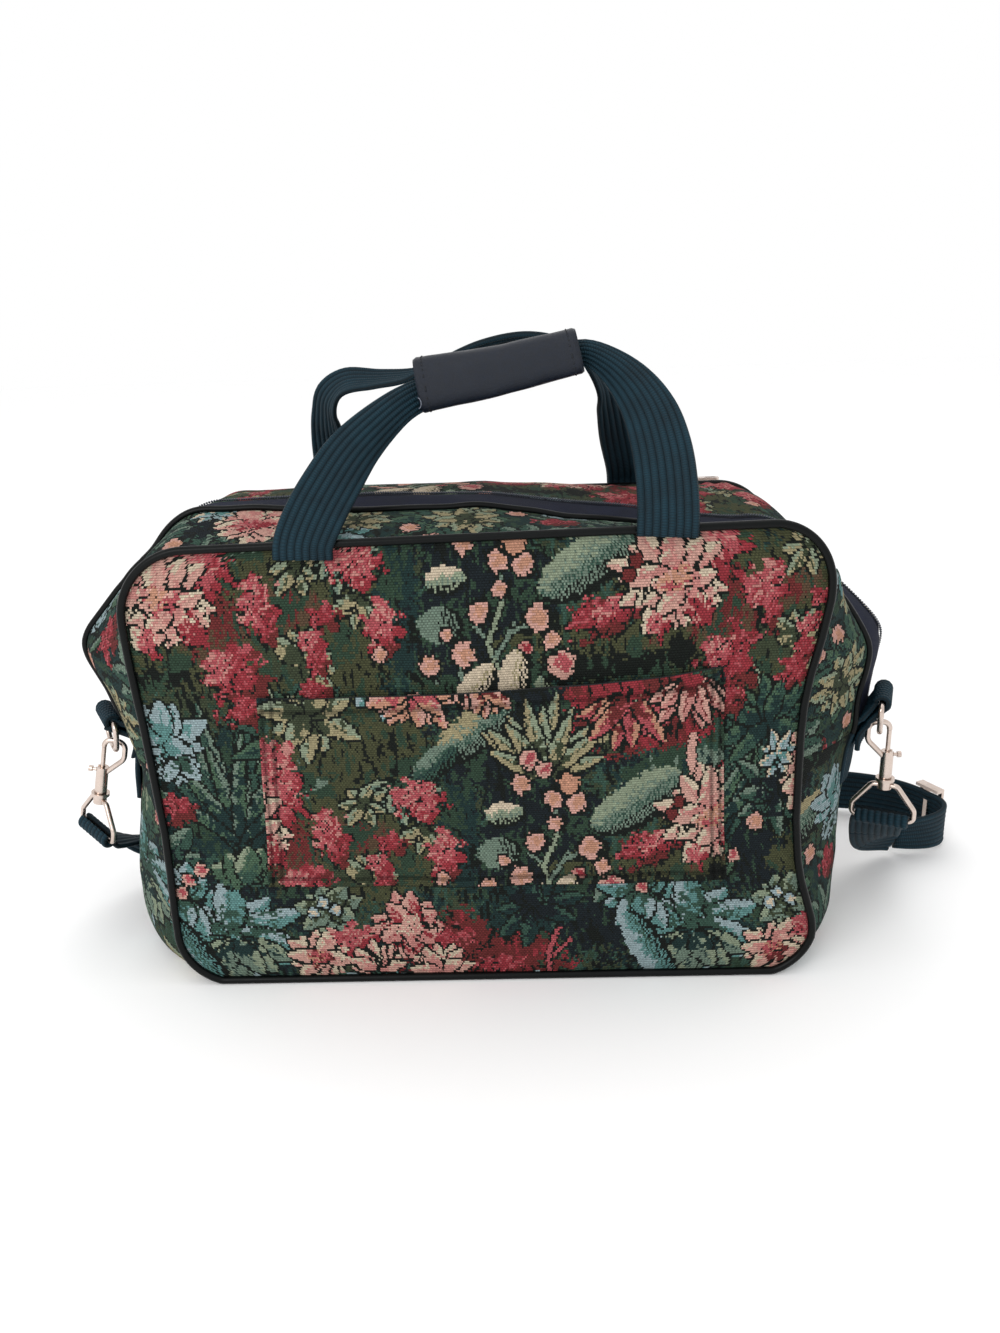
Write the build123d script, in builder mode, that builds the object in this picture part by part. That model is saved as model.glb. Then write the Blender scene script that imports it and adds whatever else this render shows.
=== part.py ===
from build123d import *
from math import cos, hypot, radians, sin, tan
import os

# Carpet bag: a soft zipped holdall of woven tapestry with webbing carrying handles and a
# clip-on shoulder strap. Millimetres. X to the bag's right as seen from the front, Y to the
# back, Z up. The origin is the bottom centre of the bag body.

os.makedirs("parts", exist_ok=True)

# ---- driving dimensions ---------------------------------------------------------------
panel_width = 450.0  # front and back panels
panel_height = 316.0
panel_corner = 55.0
panel_corner_low = 42.0
body_depth = 205.0  # over the outer faces of the two panels
cloth = 3.0  # quilted wall of the bag body
belly_out_low = 30.0  # how far the sides stand out past the panels at mid depth, at the floor
belly_out_high = 50.0  # and near the top
belly_rise = 15.0  # how far the top stands up past the panels at mid depth
belly_corner = 75.0
belly_corner_low = 45.0
seam_height = 163.0  # side seam between the base gusset and the zipped top

base_flat = 0.4  # depth pressed flat under the base
piping_size = 5.0  # corded edge of the two panels
zip_piping_y = -43.5
zip_piping_width = 5.0
zip_piping_rise = 3.5
zip_tape_y = -41.0  # front edge of the zip tape
zip_teeth_y = -7.0  # middle of the chain
zip_teeth_width = 6.0

board_inset = 49.0  # stiffener inside the base, short of each end of the panels
board_gap = 5.5  # room between the board and each panel
board_thick = 3.0

pocket_left = -145.0
pocket_right = 168.0
pocket_bottom = 75.0
pocket_top_left = 216.0
pocket_top_right = 229.0
pocket_gap = 6.0
pocket_cloth = 2.0

webbing = 38.0  # width of handles, tabs and shoulder strap
webbing_thick = 3.0
handle_foot = 16.0  # length sewn down over the piping
front_lean = 28.0  # degrees the front handle leans back
back_lean = 35.0  # degrees the back handle leans forward
front_handle_path = [
    (-109, -3), (-92, 40), (-68, 82), (-54, 99), (82, 129.5), (100, 97), (115, 50), (114, -3),
]
front_handle_radii = [60, 60, 22, 21, 30, 60]
back_handle_path = [
    (-131, -3), (-126, 68), (-102, 110), (-30, 116), (42, 150), (88, 120), (106, 52), (109, -3),
]
back_handle_radii = [60, 28, 60, 40, 26, 40]
grip_length = 109.0
grip_wall = 2.5  # padding above and below the webbing
grip_depth = 22.0
grip_middle = 0.49  # place along the straight top of the front handle

ring_wire = 4.0  # diameters
ring_room = 3.0  # beside the webbing, each way
ring_drop = 25.0
ring_corner = 4.5
tab_reach = {"left": 6.0, "right": 9.0}  # middle of the roll, past the widest part of the body
tab_roll_y = -28.0
tab_roll_z = 180.0
tab_bottom = 119.0
tab_roll_size = 12.0
tab_turn = {"left": 30.0, "right": 20.0}  # degrees the tab and ring face round to the front

hook_wire = 4.0
hook_loop = 13.0  # inside width
hook_eye_gap = 19.0  # inside height of the loop
hook_slack = 0.5  # above the ring's wire, over the running clearance
barrel_size = 9.0
barrel_length = 21.0
bolt_size = 3.4
bolt_travel = 6.0
hook_tilt = {"left": 13.0, "right": 0.0}  # degrees the hook hangs away from the bag
eye_wire = 4.0
eye_room = 1.0  # beside the strap's end, each way
eye_height = 24.0
eye_turn = {"left": -40.0, "right": -25.0}
swivel_size = 11.0
roll_size = 12.0  # strap end folded round the swivel eye

strap_thick = 2.5
strap_floor = 3.6  # lower edge of the strap above the floor, on the rails of its slider
strap_route = [
    (-292, 6), (-296, 62), (-262, 112), (-200, 124), (-110, 109.05), (30, 109.05), (130, 124),
    (230, 148), (318, 146), (368, 122), (388, 82), (366, 56), (330, 58), (304, 28),
]
slider_run = 9  # the run of the route that carries the strap slider
slider_length = 24.0
slider_bar = 4.0
slider_rail = 2.8
slider_thick = 2.6

zip_slider_x = 128.0
zip_slider_length = 12.0
zip_slider_width = 9.0
zip_slider_height = 5.0
lug_rise = 2.2  # lug of the slider above its body
lug_pin_rise = 0.9  # puller's pin above the slider's body
puller_length = 30.0
puller_width = 7.0
puller_thick = 1.6

clearance = 0.3

half_depth = body_depth / 2
belly_width_low = panel_width + 2 * belly_out_low
belly_width_high = panel_width + 2 * belly_out_high
belly_height = panel_height + belly_rise
ring_width = webbing + ring_wire + 2 * ring_room
eye_width = webbing + eye_wire + 2 * eye_room
tab_roll_x = {side: belly_width_high / 2 + reach for side, reach in tab_reach.items()}


def finish(builder, name):
    """Label a finished piece and write it to its own file."""
    builder.part.label = name
    export_step(builder.part, f"parts/{name}.step")


# ---- bag body ---------------------------------------------------------------------------
def outline(y, half_low, half_high, grow, top, corner_low, corner_high, drop=0.0):
    """A four-cornered section of the body in the plane at depth y, grown all round, its foot dropped."""
    low, high = half_low + grow, half_high + grow
    foot = -grow - drop
    with BuildSketch(Plane.XZ.offset(-y)) as section:
        with BuildLine():
            Polyline((-low, foot), (low, foot), (high, top + grow), (-high, top + grow), close=True)
        make_face()
        fillet(section.vertices().group_by(Axis.Y)[-1], corner_high + grow)
        fillet(section.vertices().group_by(Axis.Y)[0], corner_low + grow)
    return section.sketch


def body_form(grow, drop=0.0):
    """The closed form of the body between its panels, grown or shrunk all round, its foot dropped."""
    inner = half_depth - cloth
    half_panel = panel_width / 2
    ends = (half_panel, half_panel, grow, panel_height, panel_corner_low, panel_corner)
    middle = (
        belly_width_low / 2, belly_width_high / 2, grow, belly_height, belly_corner_low, belly_corner,
    )
    with BuildPart() as form:
        for y, sizes in ((-inner, ends), (0, middle), (inner, ends)):
            add(outline(y, *sizes, drop))
        loft()
    return form.part


def band(y_low, y_high, z_low, z_high):
    """A block as wide as the bag, used to cut a band out of the body form."""
    reach = belly_width_high + 100
    with Locations((0, (y_low + y_high) / 2, (z_low + z_high) / 2)):
        Box(reach, y_high - y_low, z_high - z_low, mode=Mode.INTERSECT)


outer_form = body_form(0, base_flat)
inner_form = body_form(-cloth)
above = belly_height + 20
zip_tape_end = zip_teeth_y - zip_teeth_width / 2
zip_back = zip_teeth_y + zip_teeth_width / 2

gusset_bands = {
    "base_gusset": (-half_depth, half_depth, 0, seam_height),
    "top_gusset_front": (-half_depth, zip_tape_y, seam_height, above),
    "zip_tape": (zip_tape_y, zip_tape_end, seam_height, above),
    "zip_teeth": (zip_tape_end, zip_back, seam_height, above),
    "top_gusset_back": (zip_back, half_depth, seam_height, above),
}
for name, limits in gusset_bands.items():
    with BuildPart() as gusset:
        add(outer_form)
        add(inner_form, mode=Mode.SUBTRACT)
        band(*limits)
    finish(gusset, name)

piping_form = body_form(zip_piping_rise)
with BuildPart() as zip_piping:
    add(piping_form)
    add(outer_form, mode=Mode.SUBTRACT)
    band(zip_piping_y - zip_piping_width / 2, zip_piping_y + zip_piping_width / 2, seam_height, above)
finish(zip_piping, "zip_piping")

panel_sizes = (panel_width / 2, panel_width / 2)
panel_corners = (panel_corner_low, panel_corner)
for name, side in (("front_panel", -1), ("back_panel", 1)):
    with BuildPart() as panel:
        add(outline(side * half_depth, *panel_sizes, 0, panel_height, *panel_corners))
        extrude(amount=cloth, dir=(0, -side, 0))
    finish(panel, name)

for name, side in (("front_piping", -1), ("back_piping", 1)):
    with BuildPart() as piping:
        add(outline(side * half_depth, *panel_sizes, 0, panel_height, *panel_corners))
        extrude(amount=piping_size, dir=(0, side, 0))
        add(outline(side * half_depth, *panel_sizes, -piping_size, panel_height, *panel_corners))
        extrude(amount=piping_size, dir=(0, side, 0), mode=Mode.SUBTRACT)
        chamfer(piping.faces().sort_by(Axis.Y)[0 if side < 0 else -1].edges(), piping_size * 0.3)
    finish(piping, name)

with BuildPart() as base_board:
    with BuildSketch(Plane.XY.offset(cloth)):
        RectangleRounded(panel_width - 2 * board_inset, body_depth - 2 * (cloth + board_gap), 20)
    extrude(amount=board_thick)
finish(base_board, "base_board")

# ---- patch pocket -----------------------------------------------------------------------
pocket_depth = pocket_gap + pocket_cloth
with BuildPart() as pocket:
    with BuildSketch(Plane.XZ.offset(half_depth)):
        with BuildLine():
            Polyline(
                (pocket_left, pocket_bottom),
                (pocket_right, pocket_bottom),
                (pocket_right, pocket_top_right),
                (pocket_left, pocket_top_left),
                close=True,
            )
        make_face()
    extrude(amount=pocket_depth)
    with BuildSketch(Plane.XZ.offset(half_depth)):
        with BuildLine():
            Polyline(
                (pocket_left + pocket_cloth, pocket_bottom + pocket_cloth),
                (pocket_right - pocket_cloth, pocket_bottom + pocket_cloth),
                (pocket_right - pocket_cloth, pocket_top_right + pocket_cloth),
                (pocket_left + pocket_cloth, pocket_top_right + pocket_cloth),
                close=True,
            )
        make_face()
    extrude(amount=pocket_gap, mode=Mode.SUBTRACT)
finish(pocket, "front_pocket")

# ---- carrying handles -------------------------------------------------------------------
foot_y = half_depth + piping_size + clearance + webbing_thick / 2
foot_top = panel_height + 2


def handle_plane(side, lean):
    """The plane a handle's webbing lies in; side is -1 in front and 1 behind."""
    up_y = -side * sin(radians(lean))
    return Plane(origin=(0, side * foot_y, foot_top), x_dir=(1, 0, 0), z_dir=(0, -cos(radians(lean)), up_y))


def build_handle(side, lean, path, radii):
    """Webbing of one width along a path in its leaning plane, with a foot sewn down at each end."""
    with BuildPart() as handle:
        with BuildSketch(handle_plane(side, lean)):
            with BuildLine() as line:
                FilletPolyline(*path, radius=radii)
            trace(line.line, webbing)
        extrude(amount=webbing_thick / 2, both=True)
        for x in (path[0][0], path[-1][0]):
            with Locations((x, side * foot_y, foot_top - handle_foot / 2)):
                Box(webbing, webbing_thick, handle_foot)
    return handle


finish(build_handle(-1, front_lean, front_handle_path, front_handle_radii), "handle_front")
finish(build_handle(1, back_lean, back_handle_path, back_handle_radii), "handle_back")

top_start = Vector(*front_handle_path[3])
top_end = Vector(*front_handle_path[4])
top_run = top_end - top_start
grip_centre = top_start + top_run * grip_middle
front_plane = handle_plane(-1, front_lean)
grip_along = front_plane.from_local_coords(Vector(top_run.X, top_run.Y, 0)) - front_plane.origin
grip_origin = front_plane.from_local_coords(Vector(grip_centre.X, grip_centre.Y, 0))
grip_plane = Plane(origin=grip_origin, x_dir=front_plane.z_dir, z_dir=grip_along)
with BuildPart() as handle_grip:
    with BuildSketch(grip_plane):
        RectangleRounded(grip_depth, webbing + 2 * grip_wall, grip_depth * 0.42)
        Rectangle(webbing_thick + 2 * clearance, webbing + 2 * clearance, mode=Mode.SUBTRACT)
    extrude(amount=grip_length / 2, both=True)
finish(handle_grip, "handle_grip")

# ---- zip slider and its puller ------------------------------------------------------------
zip_top = belly_height + clearance
pull_x = zip_slider_x + zip_slider_length / 2
pin_x = pull_x + 1.4
pin_z = zip_top + zip_slider_height + lug_pin_rise
lug_height = zip_slider_height + lug_rise
with BuildPart() as zip_slider:
    with Locations((zip_slider_x, zip_teeth_y, zip_top + zip_slider_height / 2)):
        Box(zip_slider_length, zip_slider_width, zip_slider_height)
    fillet(zip_slider.edges().filter_by(Axis.Z), 3)
    with Locations((pull_x + 1.2, zip_teeth_y, zip_top + lug_height / 2)):
        Box(5, 2, lug_height)
    with Locations(Plane(origin=(pin_x, zip_teeth_y, pin_z), z_dir=(0, 1, 0))):
        Cylinder(0.9, 2, mode=Mode.SUBTRACT)
finish(zip_slider, "zip_slider")

with BuildPart() as zip_puller:
    with BuildSketch(Plane.XY.offset(pin_z - puller_thick / 2)):
        with Locations((pin_x + puller_length / 2 - 1, zip_teeth_y)):
            RectangleRounded(puller_length, puller_width, 2)
        with Locations((pin_x + 2.2, zip_teeth_y)):
            Rectangle(6.4, 2 + 4 * clearance, mode=Mode.SUBTRACT)
        with Locations((pin_x + puller_length - 7, zip_teeth_y)):
            SlotOverall(8, 3, mode=Mode.SUBTRACT)
    extrude(amount=puller_thick)
    with Locations(Plane(origin=(pin_x, zip_teeth_y, pin_z), z_dir=(0, 1, 0))):
        Cylinder(0.8, puller_width - 1)
finish(zip_puller, "zip_puller")


# ---- strap hardware, one set at each end of the bag -----------------------------------------
def wire_path(plane, points, radii, size, close=False):
    """A round wire of the given diameter swept along straight runs with rounded corners."""
    with BuildPart() as wire:
        with BuildLine(plane) as line:
            FilletPolyline(*points, radius=radii, close=close)
        start = line.line @ 0
        with BuildSketch(Plane(origin=start, z_dir=line.line % 0)):
            Circle(size / 2)
        sweep(path=line.line)
    return wire.part


def ring_frame(side, sign):
    """Position of a ring: local X along its bar, local Z up, origin at the middle of the bar."""
    turn = 90 - sign * tab_turn[side]
    return Location((sign * tab_roll_x[side], tab_roll_y, tab_roll_z), (0, 0, turn))


def hook_frame(side, sign):
    """Position of a hook: origin on the ring's lowest wire, local +X away from the bag."""
    tilt = -sign * hook_tilt[side]
    spot = Location((sign * tab_roll_x[side], tab_roll_y, tab_roll_z - ring_drop), (0, tilt, 0))
    return spot * Location((0, 0, 0), (0, 0, 0 if sign > 0 else 180))


barrel_x = hook_loop / 2 + 0.5
loop_rise = ring_wire / 2 + clearance + hook_slack + hook_wire / 2
loop_low = loop_rise - hook_wire - hook_eye_gap
barrel_low = loop_low - barrel_length
swivel_top = barrel_low - clearance
eye_top = swivel_top - 9
bar_z = eye_top - eye_height

for side, sign in (("left", -1), ("right", 1)):
    ring_place = ring_frame(side, sign)
    hook_place = hook_frame(side, sign)

    # webbing tab: a patch below the side seam, and a neck up to a roll round the ring's bar
    roll_x = tab_roll_x[side]
    patch_top = seam_height - 2 * clearance
    with BuildPart() as tab:
        add(body_form(webbing_thick + clearance))
        with Locations((sign * belly_width_high / 2, tab_roll_y, (tab_bottom + patch_top) / 2)):
            Box(belly_width_high, webbing, patch_top - tab_bottom, mode=Mode.INTERSECT)
        with BuildSketch(Plane.XZ.offset(-tab_roll_y)):
            with BuildLine():
                Polyline(
                    (sign * (roll_x - 40), patch_top - 14),
                    (sign * (roll_x - 14), patch_top - 14),
                    (sign * (roll_x - 12.5), patch_top),
                    (sign * (roll_x + 1), tab_roll_z - 4),
                    (sign * (roll_x - 3), tab_roll_z + 4.5),
                    (sign * (roll_x - 40), tab_roll_z - 6),
                    close=True,
                )
            make_face()
        extrude(amount=webbing / 4, both=True)
        add(body_form(clearance), mode=Mode.SUBTRACT)
        with Locations(ring_place * Location((0, 0, 0), (0, 90, 0))):
            Cylinder(tab_roll_size / 2, webbing)
            Cylinder(ring_wire / 2 + clearance, webbing + 20, mode=Mode.SUBTRACT)
    finish(tab, f"tab_{side}")

    half_ring = ring_width / 2
    ring_foot = half_ring / 2
    ring_points = [
        (-half_ring, 0), (half_ring, 0), (half_ring, -8),
        (ring_foot, -ring_drop), (-ring_foot, -ring_drop), (-half_ring, -8),
    ]
    ring_radii = [ring_corner, ring_corner, 8, 14, 14, 8]
    ring_solid = wire_path(Plane.XZ, ring_points, ring_radii, ring_wire, close=True)
    with BuildPart() as d_ring:
        add(ring_solid.moved(ring_place))
    finish(d_ring, f"d_ring_{side}")

    # trigger hook: barrel with a bore for the bolt, and the curved arm that closes on it
    loop_half = hook_loop / 2 + hook_wire / 2
    arm = wire_path(
        Plane.XZ,
        [(barrel_x - 2, loop_low - 5), (-loop_half, loop_low + 9), (-loop_half, loop_rise),
         (barrel_x, loop_rise), (barrel_x, loop_rise - 6)],
        [8, 6, 5.5],
        hook_wire,
    )
    with BuildPart() as hook_body:
        with Locations((barrel_x, 0, loop_low - barrel_length / 2)):
            Cylinder(barrel_size / 2, barrel_length)
        add(arm)
        with Locations((barrel_x, 0, loop_low - barrel_length * 0.36)):
            Cylinder(bolt_size / 2 + clearance, barrel_length * 0.72 + 0.1, mode=Mode.SUBTRACT)
        with Locations((barrel_x + barrel_size / 2, 0, loop_low - 6.5)):
            Box(barrel_size, 2.6 + 2 * clearance, 13, mode=Mode.SUBTRACT)
        with Locations((barrel_x, 0, barrel_low + 2.2)):
            Cylinder(1.5 + clearance, 4.6, mode=Mode.SUBTRACT)
            Cylinder(2.4 + clearance, 1.6, mode=Mode.SUBTRACT)
    with BuildPart() as snap_hook:
        add(hook_body.part.moved(hook_place))
    finish(snap_hook, f"snap_hook_{side}")

    bolt_top = loop_rise - 6 - clearance
    bolt_low = loop_low - 6
    with BuildPart() as bolt_form:
        with Locations((barrel_x, 0, (bolt_top + bolt_low) / 2)):
            Cylinder(bolt_size / 2, bolt_top - bolt_low)
        with Locations(Location((barrel_x + barrel_size / 2, 0, loop_low - 3), (0, 90, 0))):
            Cylinder(1.2, barrel_size - 1)
        with Locations(Location((barrel_x + barrel_size / 2 + 4, 0, loop_low - 3), (0, 90, 0))):
            Cylinder(2.3, 2.6)
    with BuildPart() as bolt:
        add(bolt_form.part.moved(hook_place))
    finish(bolt, f"hook_bolt_{side}")

    # bolt spring at its closed length, seated at the foot of the bore
    with BuildPart() as spring_form:
        with BuildLine() as coil:
            Helix(0.8, 2.4, 1.15, center=(barrel_x, 0, loop_low - barrel_length * 0.72 + 0.35))
        with BuildSketch(Plane(origin=coil.line @ 0, z_dir=coil.line % 0)):
            Circle(0.3)
        sweep(path=coil.line, is_frenet=True)
    with BuildPart() as spring:
        add(spring_form.part.moved(hook_place))
    finish(spring, f"hook_spring_{side}")

    # swivel eye: a headed stem held in the foot of the barrel, a cap and a wide wire bow
    half_eye = eye_width / 2
    bow = wire_path(
        Plane.XZ,
        [(-2, eye_top + 3), (-9, eye_top + 2.5), (-half_eye, bar_z + 9), (-half_eye, bar_z),
         (half_eye, bar_z), (half_eye, bar_z + 9), (9, eye_top + 2.5), (2, eye_top + 3)],
        [4, 6, 3.5, 3.5, 6, 4],
        eye_wire,
    )
    turn = Location((barrel_x, 0, 0), (0, 0, eye_turn[side] if sign > 0 else eye_turn[side] + 180))
    with BuildPart() as eye_form:
        with Locations((0, 0, swivel_top - 1.2)):
            Cylinder(swivel_size / 2 + 1.2, 2.4)
        with Locations((0, 0, swivel_top - 5.4)):
            Cylinder(swivel_size / 2 - 0.6, 6.6)
        add(bow)
        with Locations((0, 0, swivel_top + 1.6)):
            Cylinder(1.5, 3.6)
        with Locations((0, 0, barrel_low + 2.2)):
            Cylinder(2.3, 1.0)
    with BuildPart() as eye:
        add(eye_form.part.moved(hook_place * turn))
    finish(eye, f"swivel_eye_{side}")

    with BuildPart() as end_form:
        with Locations(Location((0, 0, bar_z), (0, 90, 0))):
            Cylinder(roll_size / 2, webbing)
            Cylinder(eye_wire / 2 + clearance, webbing + 1, mode=Mode.SUBTRACT)
    with BuildPart() as strap_end:
        add(end_form.part.moved(hook_place * turn))
    finish(strap_end, f"strap_end_{side}")

# ---- shoulder strap ---------------------------------------------------------------------------
runs = [Vector(*b) - Vector(*a) for a, b in zip(strap_route, strap_route[1:])]
strap_radii = [
    0.45 * min(before.length, after.length) / tan(radians(abs(before.get_angle(after)) / 2))
    for before, after in zip(runs, runs[1:])
]
print("strap radii:", [round(r, 1) for r in strap_radii])

with BuildPart() as shoulder_strap:
    with BuildSketch(Plane.XY.offset(strap_floor)):
        with BuildLine() as strap_line:
            FilletPolyline(*strap_route, radius=strap_radii)
        trace(strap_line.line, strap_thick)
    extrude(amount=webbing)
strap_length = sum(edge.length for edge in strap_line.line.edges())
strap_volume = strap_length * strap_thick * webbing
volume_share = shoulder_strap.part.volume / strap_volume
print("strap length:", round(strap_length, 1), "volume share:", round(volume_share, 4))
finish(shoulder_strap, "shoulder_strap")

# strap slider: two outer bars on one face of the strap, the middle bar on the other
run_start = Vector(*strap_route[slider_run])
run_end = Vector(*strap_route[slider_run + 1])
slider_spot = (run_start + run_end) * 0.5
slider_plane = Plane(
    origin=(slider_spot.X, slider_spot.Y, strap_floor + webbing / 2),
    x_dir=(run_end - run_start).normalized(),
    z_dir=(0, 0, 1),
)
layer = strap_thick / 2 + clearance + slider_thick / 2
rail_z = webbing / 2 + clearance + slider_rail / 2
with BuildPart() as slider_form:
    for along, across in ((-1, 1), (0, -1), (1, 1)):
        with Locations((along * (slider_length - slider_bar) / 2, across * layer, 0)):
            Box(slider_bar, slider_thick, webbing + 2 * clearance + 2 * slider_rail)
    with Locations((0, 0, rail_z), (0, 0, -rail_z)):
        Box(slider_length, 2 * layer + slider_thick, slider_rail)
with BuildPart() as strap_slider:
    add(slider_form.part.moved(slider_plane.location))
finish(strap_slider, "strap_slider")
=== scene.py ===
import logging
import math
from dataclasses import dataclass, field
from enum import Enum
from typing import Callable

import bpy
import numpy as np
from mathutils import Matrix, Vector


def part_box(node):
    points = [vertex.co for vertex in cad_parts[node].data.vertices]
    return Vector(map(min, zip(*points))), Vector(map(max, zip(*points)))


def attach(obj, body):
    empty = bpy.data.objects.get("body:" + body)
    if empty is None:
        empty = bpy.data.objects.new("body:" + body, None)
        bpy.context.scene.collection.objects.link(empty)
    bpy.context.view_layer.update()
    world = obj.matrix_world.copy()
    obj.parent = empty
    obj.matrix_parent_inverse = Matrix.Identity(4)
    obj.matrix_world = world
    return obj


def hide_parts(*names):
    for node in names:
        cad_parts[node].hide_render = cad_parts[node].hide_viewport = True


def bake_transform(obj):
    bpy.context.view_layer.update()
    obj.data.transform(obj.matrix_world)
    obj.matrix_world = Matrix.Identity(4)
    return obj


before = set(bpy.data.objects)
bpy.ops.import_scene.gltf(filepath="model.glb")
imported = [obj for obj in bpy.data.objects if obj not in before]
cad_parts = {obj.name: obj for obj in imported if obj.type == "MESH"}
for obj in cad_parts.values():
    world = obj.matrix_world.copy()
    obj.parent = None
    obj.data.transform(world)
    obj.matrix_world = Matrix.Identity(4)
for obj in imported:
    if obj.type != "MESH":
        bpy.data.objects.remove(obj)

# A zipped tapestry holdall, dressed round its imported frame. Metres, in the frame's own axes;
# the cloth's pattern is drawn in millimetres of flat cloth.

LOG = logging.getLogger("carpet_bag")
MM = 0.001
PICK, ROW = 0.00115, 0.0016  # one stitch of the tapestry, along its row and across it
WEBBING_WIDTH = 0.038
WEBBING_RIB = 0.00475  # pitch of the ribs across the webbing
FLOOR_CLEAR = 0.0003  # how far the lining stays off the floor
STRAIGHT_PART = 0.999  # share of the half width past which the outline is its upright side
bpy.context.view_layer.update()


# ---- yarns and pattern ------------------------------------------------------------------------
class Yarn(Enum):
    """Dyed yarns of the tapestry, as sRGB colours."""

    OLIVE = "484C34"
    MOSS = "3C4634"
    GREEN = "2F4638"
    BOTTLE = "1E3536"
    NIGHT = "1A2228"
    SHADOW = "171C1A"
    UMBER = "5A4636"
    BRICK = "6E2B2C"
    CRIMSON = "98303B"
    ROSE = "B4505A"
    BLUSH = "C98582"
    PINK = "D3A097"
    CREAM = "D2C3AE"
    PEACH = "C68F78"
    SAND = "A39A78"
    SAGE = "8C9C86"
    MIST = "6D8478"
    TEAL = "5A8C8E"
    SKY = "94ADB8"
    LEAF = "486652"
    FERN = "35544A"

    def rgb(self) -> np.ndarray:
        """The yarn's sRGB colour, from 0 to 1."""
        return np.array([int(self.value[i:i + 2], 16) for i in (0, 2, 4)]) / 255


class Grain:
    """Seeded value noise over flat coordinates."""

    def __init__(self, seed: int, size: int = 61) -> None:
        """Fill the table of the noise."""
        self.table = np.random.default_rng(seed).random((size, size))

    def at(self, x: np.ndarray, z: np.ndarray, pitch: float) -> np.ndarray:
        """Smooth noise from 0 to 1.

        Args:
            x: first coordinates.
            z: second coordinates, as many.
            pitch: size of the noise's lumps, in the same unit.

        Returns:
            One value for each point.
        """
        gx, gz = np.asarray(x) / pitch, np.asarray(z) / pitch
        ix, iz = np.floor(gx).astype(int), np.floor(gz).astype(int)
        fx, fz = gx - ix, gz - iz
        fx, fz = fx * fx * (3 - 2 * fx), fz * fz * (3 - 2 * fz)
        table, size = self.table, len(self.table)
        low = table[ix % size, iz % size] * (1 - fx) + table[(ix + 1) % size, iz % size] * fx
        high = table[ix % size, (iz + 1) % size] * (1 - fx) + table[(ix + 1) % size, (iz + 1) % size] * fx
        return low * (1 - fz) + high * fz


@dataclass
class Loom:
    """Stitches of one piece of cloth and the yarn that shows at each, in millimetres of pattern."""

    x: np.ndarray
    z: np.ndarray
    repeat_wide: float = 322.0
    repeat_tall: float = 402.0

    def __post_init__(self) -> None:
        """Start the cloth in its ground shades."""
        self.grain = Grain(11)
        self.colour = np.tile(Yarn.MOSS.rgb(), (len(self.x), 1))
        everywhere = np.arange(len(self.x))
        shade = self.noise(everywhere, 34) + 0.5 * (self.noise(everywhere, 9) - 0.5)
        speck = 0.5 * (self.noise(everywhere, 1.9) - 0.5)
        self.lay(everywhere, shade + speck > 0.62, Yarn.GREEN)
        self.lay(everywhere, shade + speck < 0.40, Yarn.BOTTLE)
        self.lay(everywhere, shade + speck < 0.20, Yarn.NIGHT)
        blades = self.strokes(everywhere)
        self.lay(everywhere, blades > 0.70, Yarn.FERN)
        self.lay(everywhere, blades < 0.24, Yarn.SHADOW)

    def near(self, x: float, z: float, reach: float) -> tuple[np.ndarray, np.ndarray, np.ndarray]:
        """Stitches near a place of the repeat.

        Args:
            x: place across the cloth.
            z: place up the cloth.
            reach: how far to look each way.

        Returns:
            Indices of the stitches, and how far each lies from the place across and up.
        """
        dx = (self.x - x + self.repeat_wide / 2) % self.repeat_wide - self.repeat_wide / 2
        dz = (self.z - z + self.repeat_tall / 2) % self.repeat_tall - self.repeat_tall / 2
        at = np.flatnonzero((np.abs(dx) < reach) & (np.abs(dz) < reach))
        return at, dx[at], dz[at]

    def noise(self, at: np.ndarray, pitch: float, shift: float = 0.0) -> np.ndarray:
        """Noise at some stitches, the same wherever the repeat falls."""
        return self.grain.at(self.x[at] + shift, self.z[at] - shift, pitch)

    def strokes(self, at: np.ndarray, shift: float = 0.0) -> np.ndarray:
        """Noise drawn out upright, as short blades of grass."""
        return self.grain.at(2.6 * self.x[at] + shift, 0.7 * self.z[at] + 0.5 * self.x[at], 6.0)

    def lay(self, at: np.ndarray, mask: np.ndarray, yarn: Yarn) -> None:
        """Bring one yarn to the face at the stitches that the mask picks."""
        self.colour[at[mask]] = yarn.rgb()


@dataclass(frozen=True)
class Field:
    """A patch of ground in one yarn, ragged at its edge."""

    x: float
    z: float
    wide: float
    tall: float
    yarn: Yarn
    dark: Yarn = Yarn.SHADOW
    light: Yarn = Yarn.GREEN

    def weave(self, loom: Loom) -> None:
        """Lay the patch."""
        at, dx, dz = loom.near(self.x, self.z, 1.4 * max(self.wide, self.tall))
        edge = np.hypot(dx / self.wide, dz / self.tall)
        edge = edge + 0.6 * (loom.noise(at, 13) - 0.5) + 0.5 * (loom.noise(at, 2.1, 7) - 0.5)
        inside = edge < 1
        loom.lay(at, inside, self.yarn)
        drift = loom.noise(at, 17, 5) + 0.35 * (loom.noise(at, 2.3, 2) - 0.5)
        blades = loom.strokes(at, 9)
        loom.lay(at, inside & (drift > 0.72), self.light)
        loom.lay(at, inside & (blades > 0.76), self.light)
        loom.lay(at, inside & (blades < 0.20), self.dark)
        loom.lay(at, inside & (drift < 0.25) & (blades < 0.5), self.dark)


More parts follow.
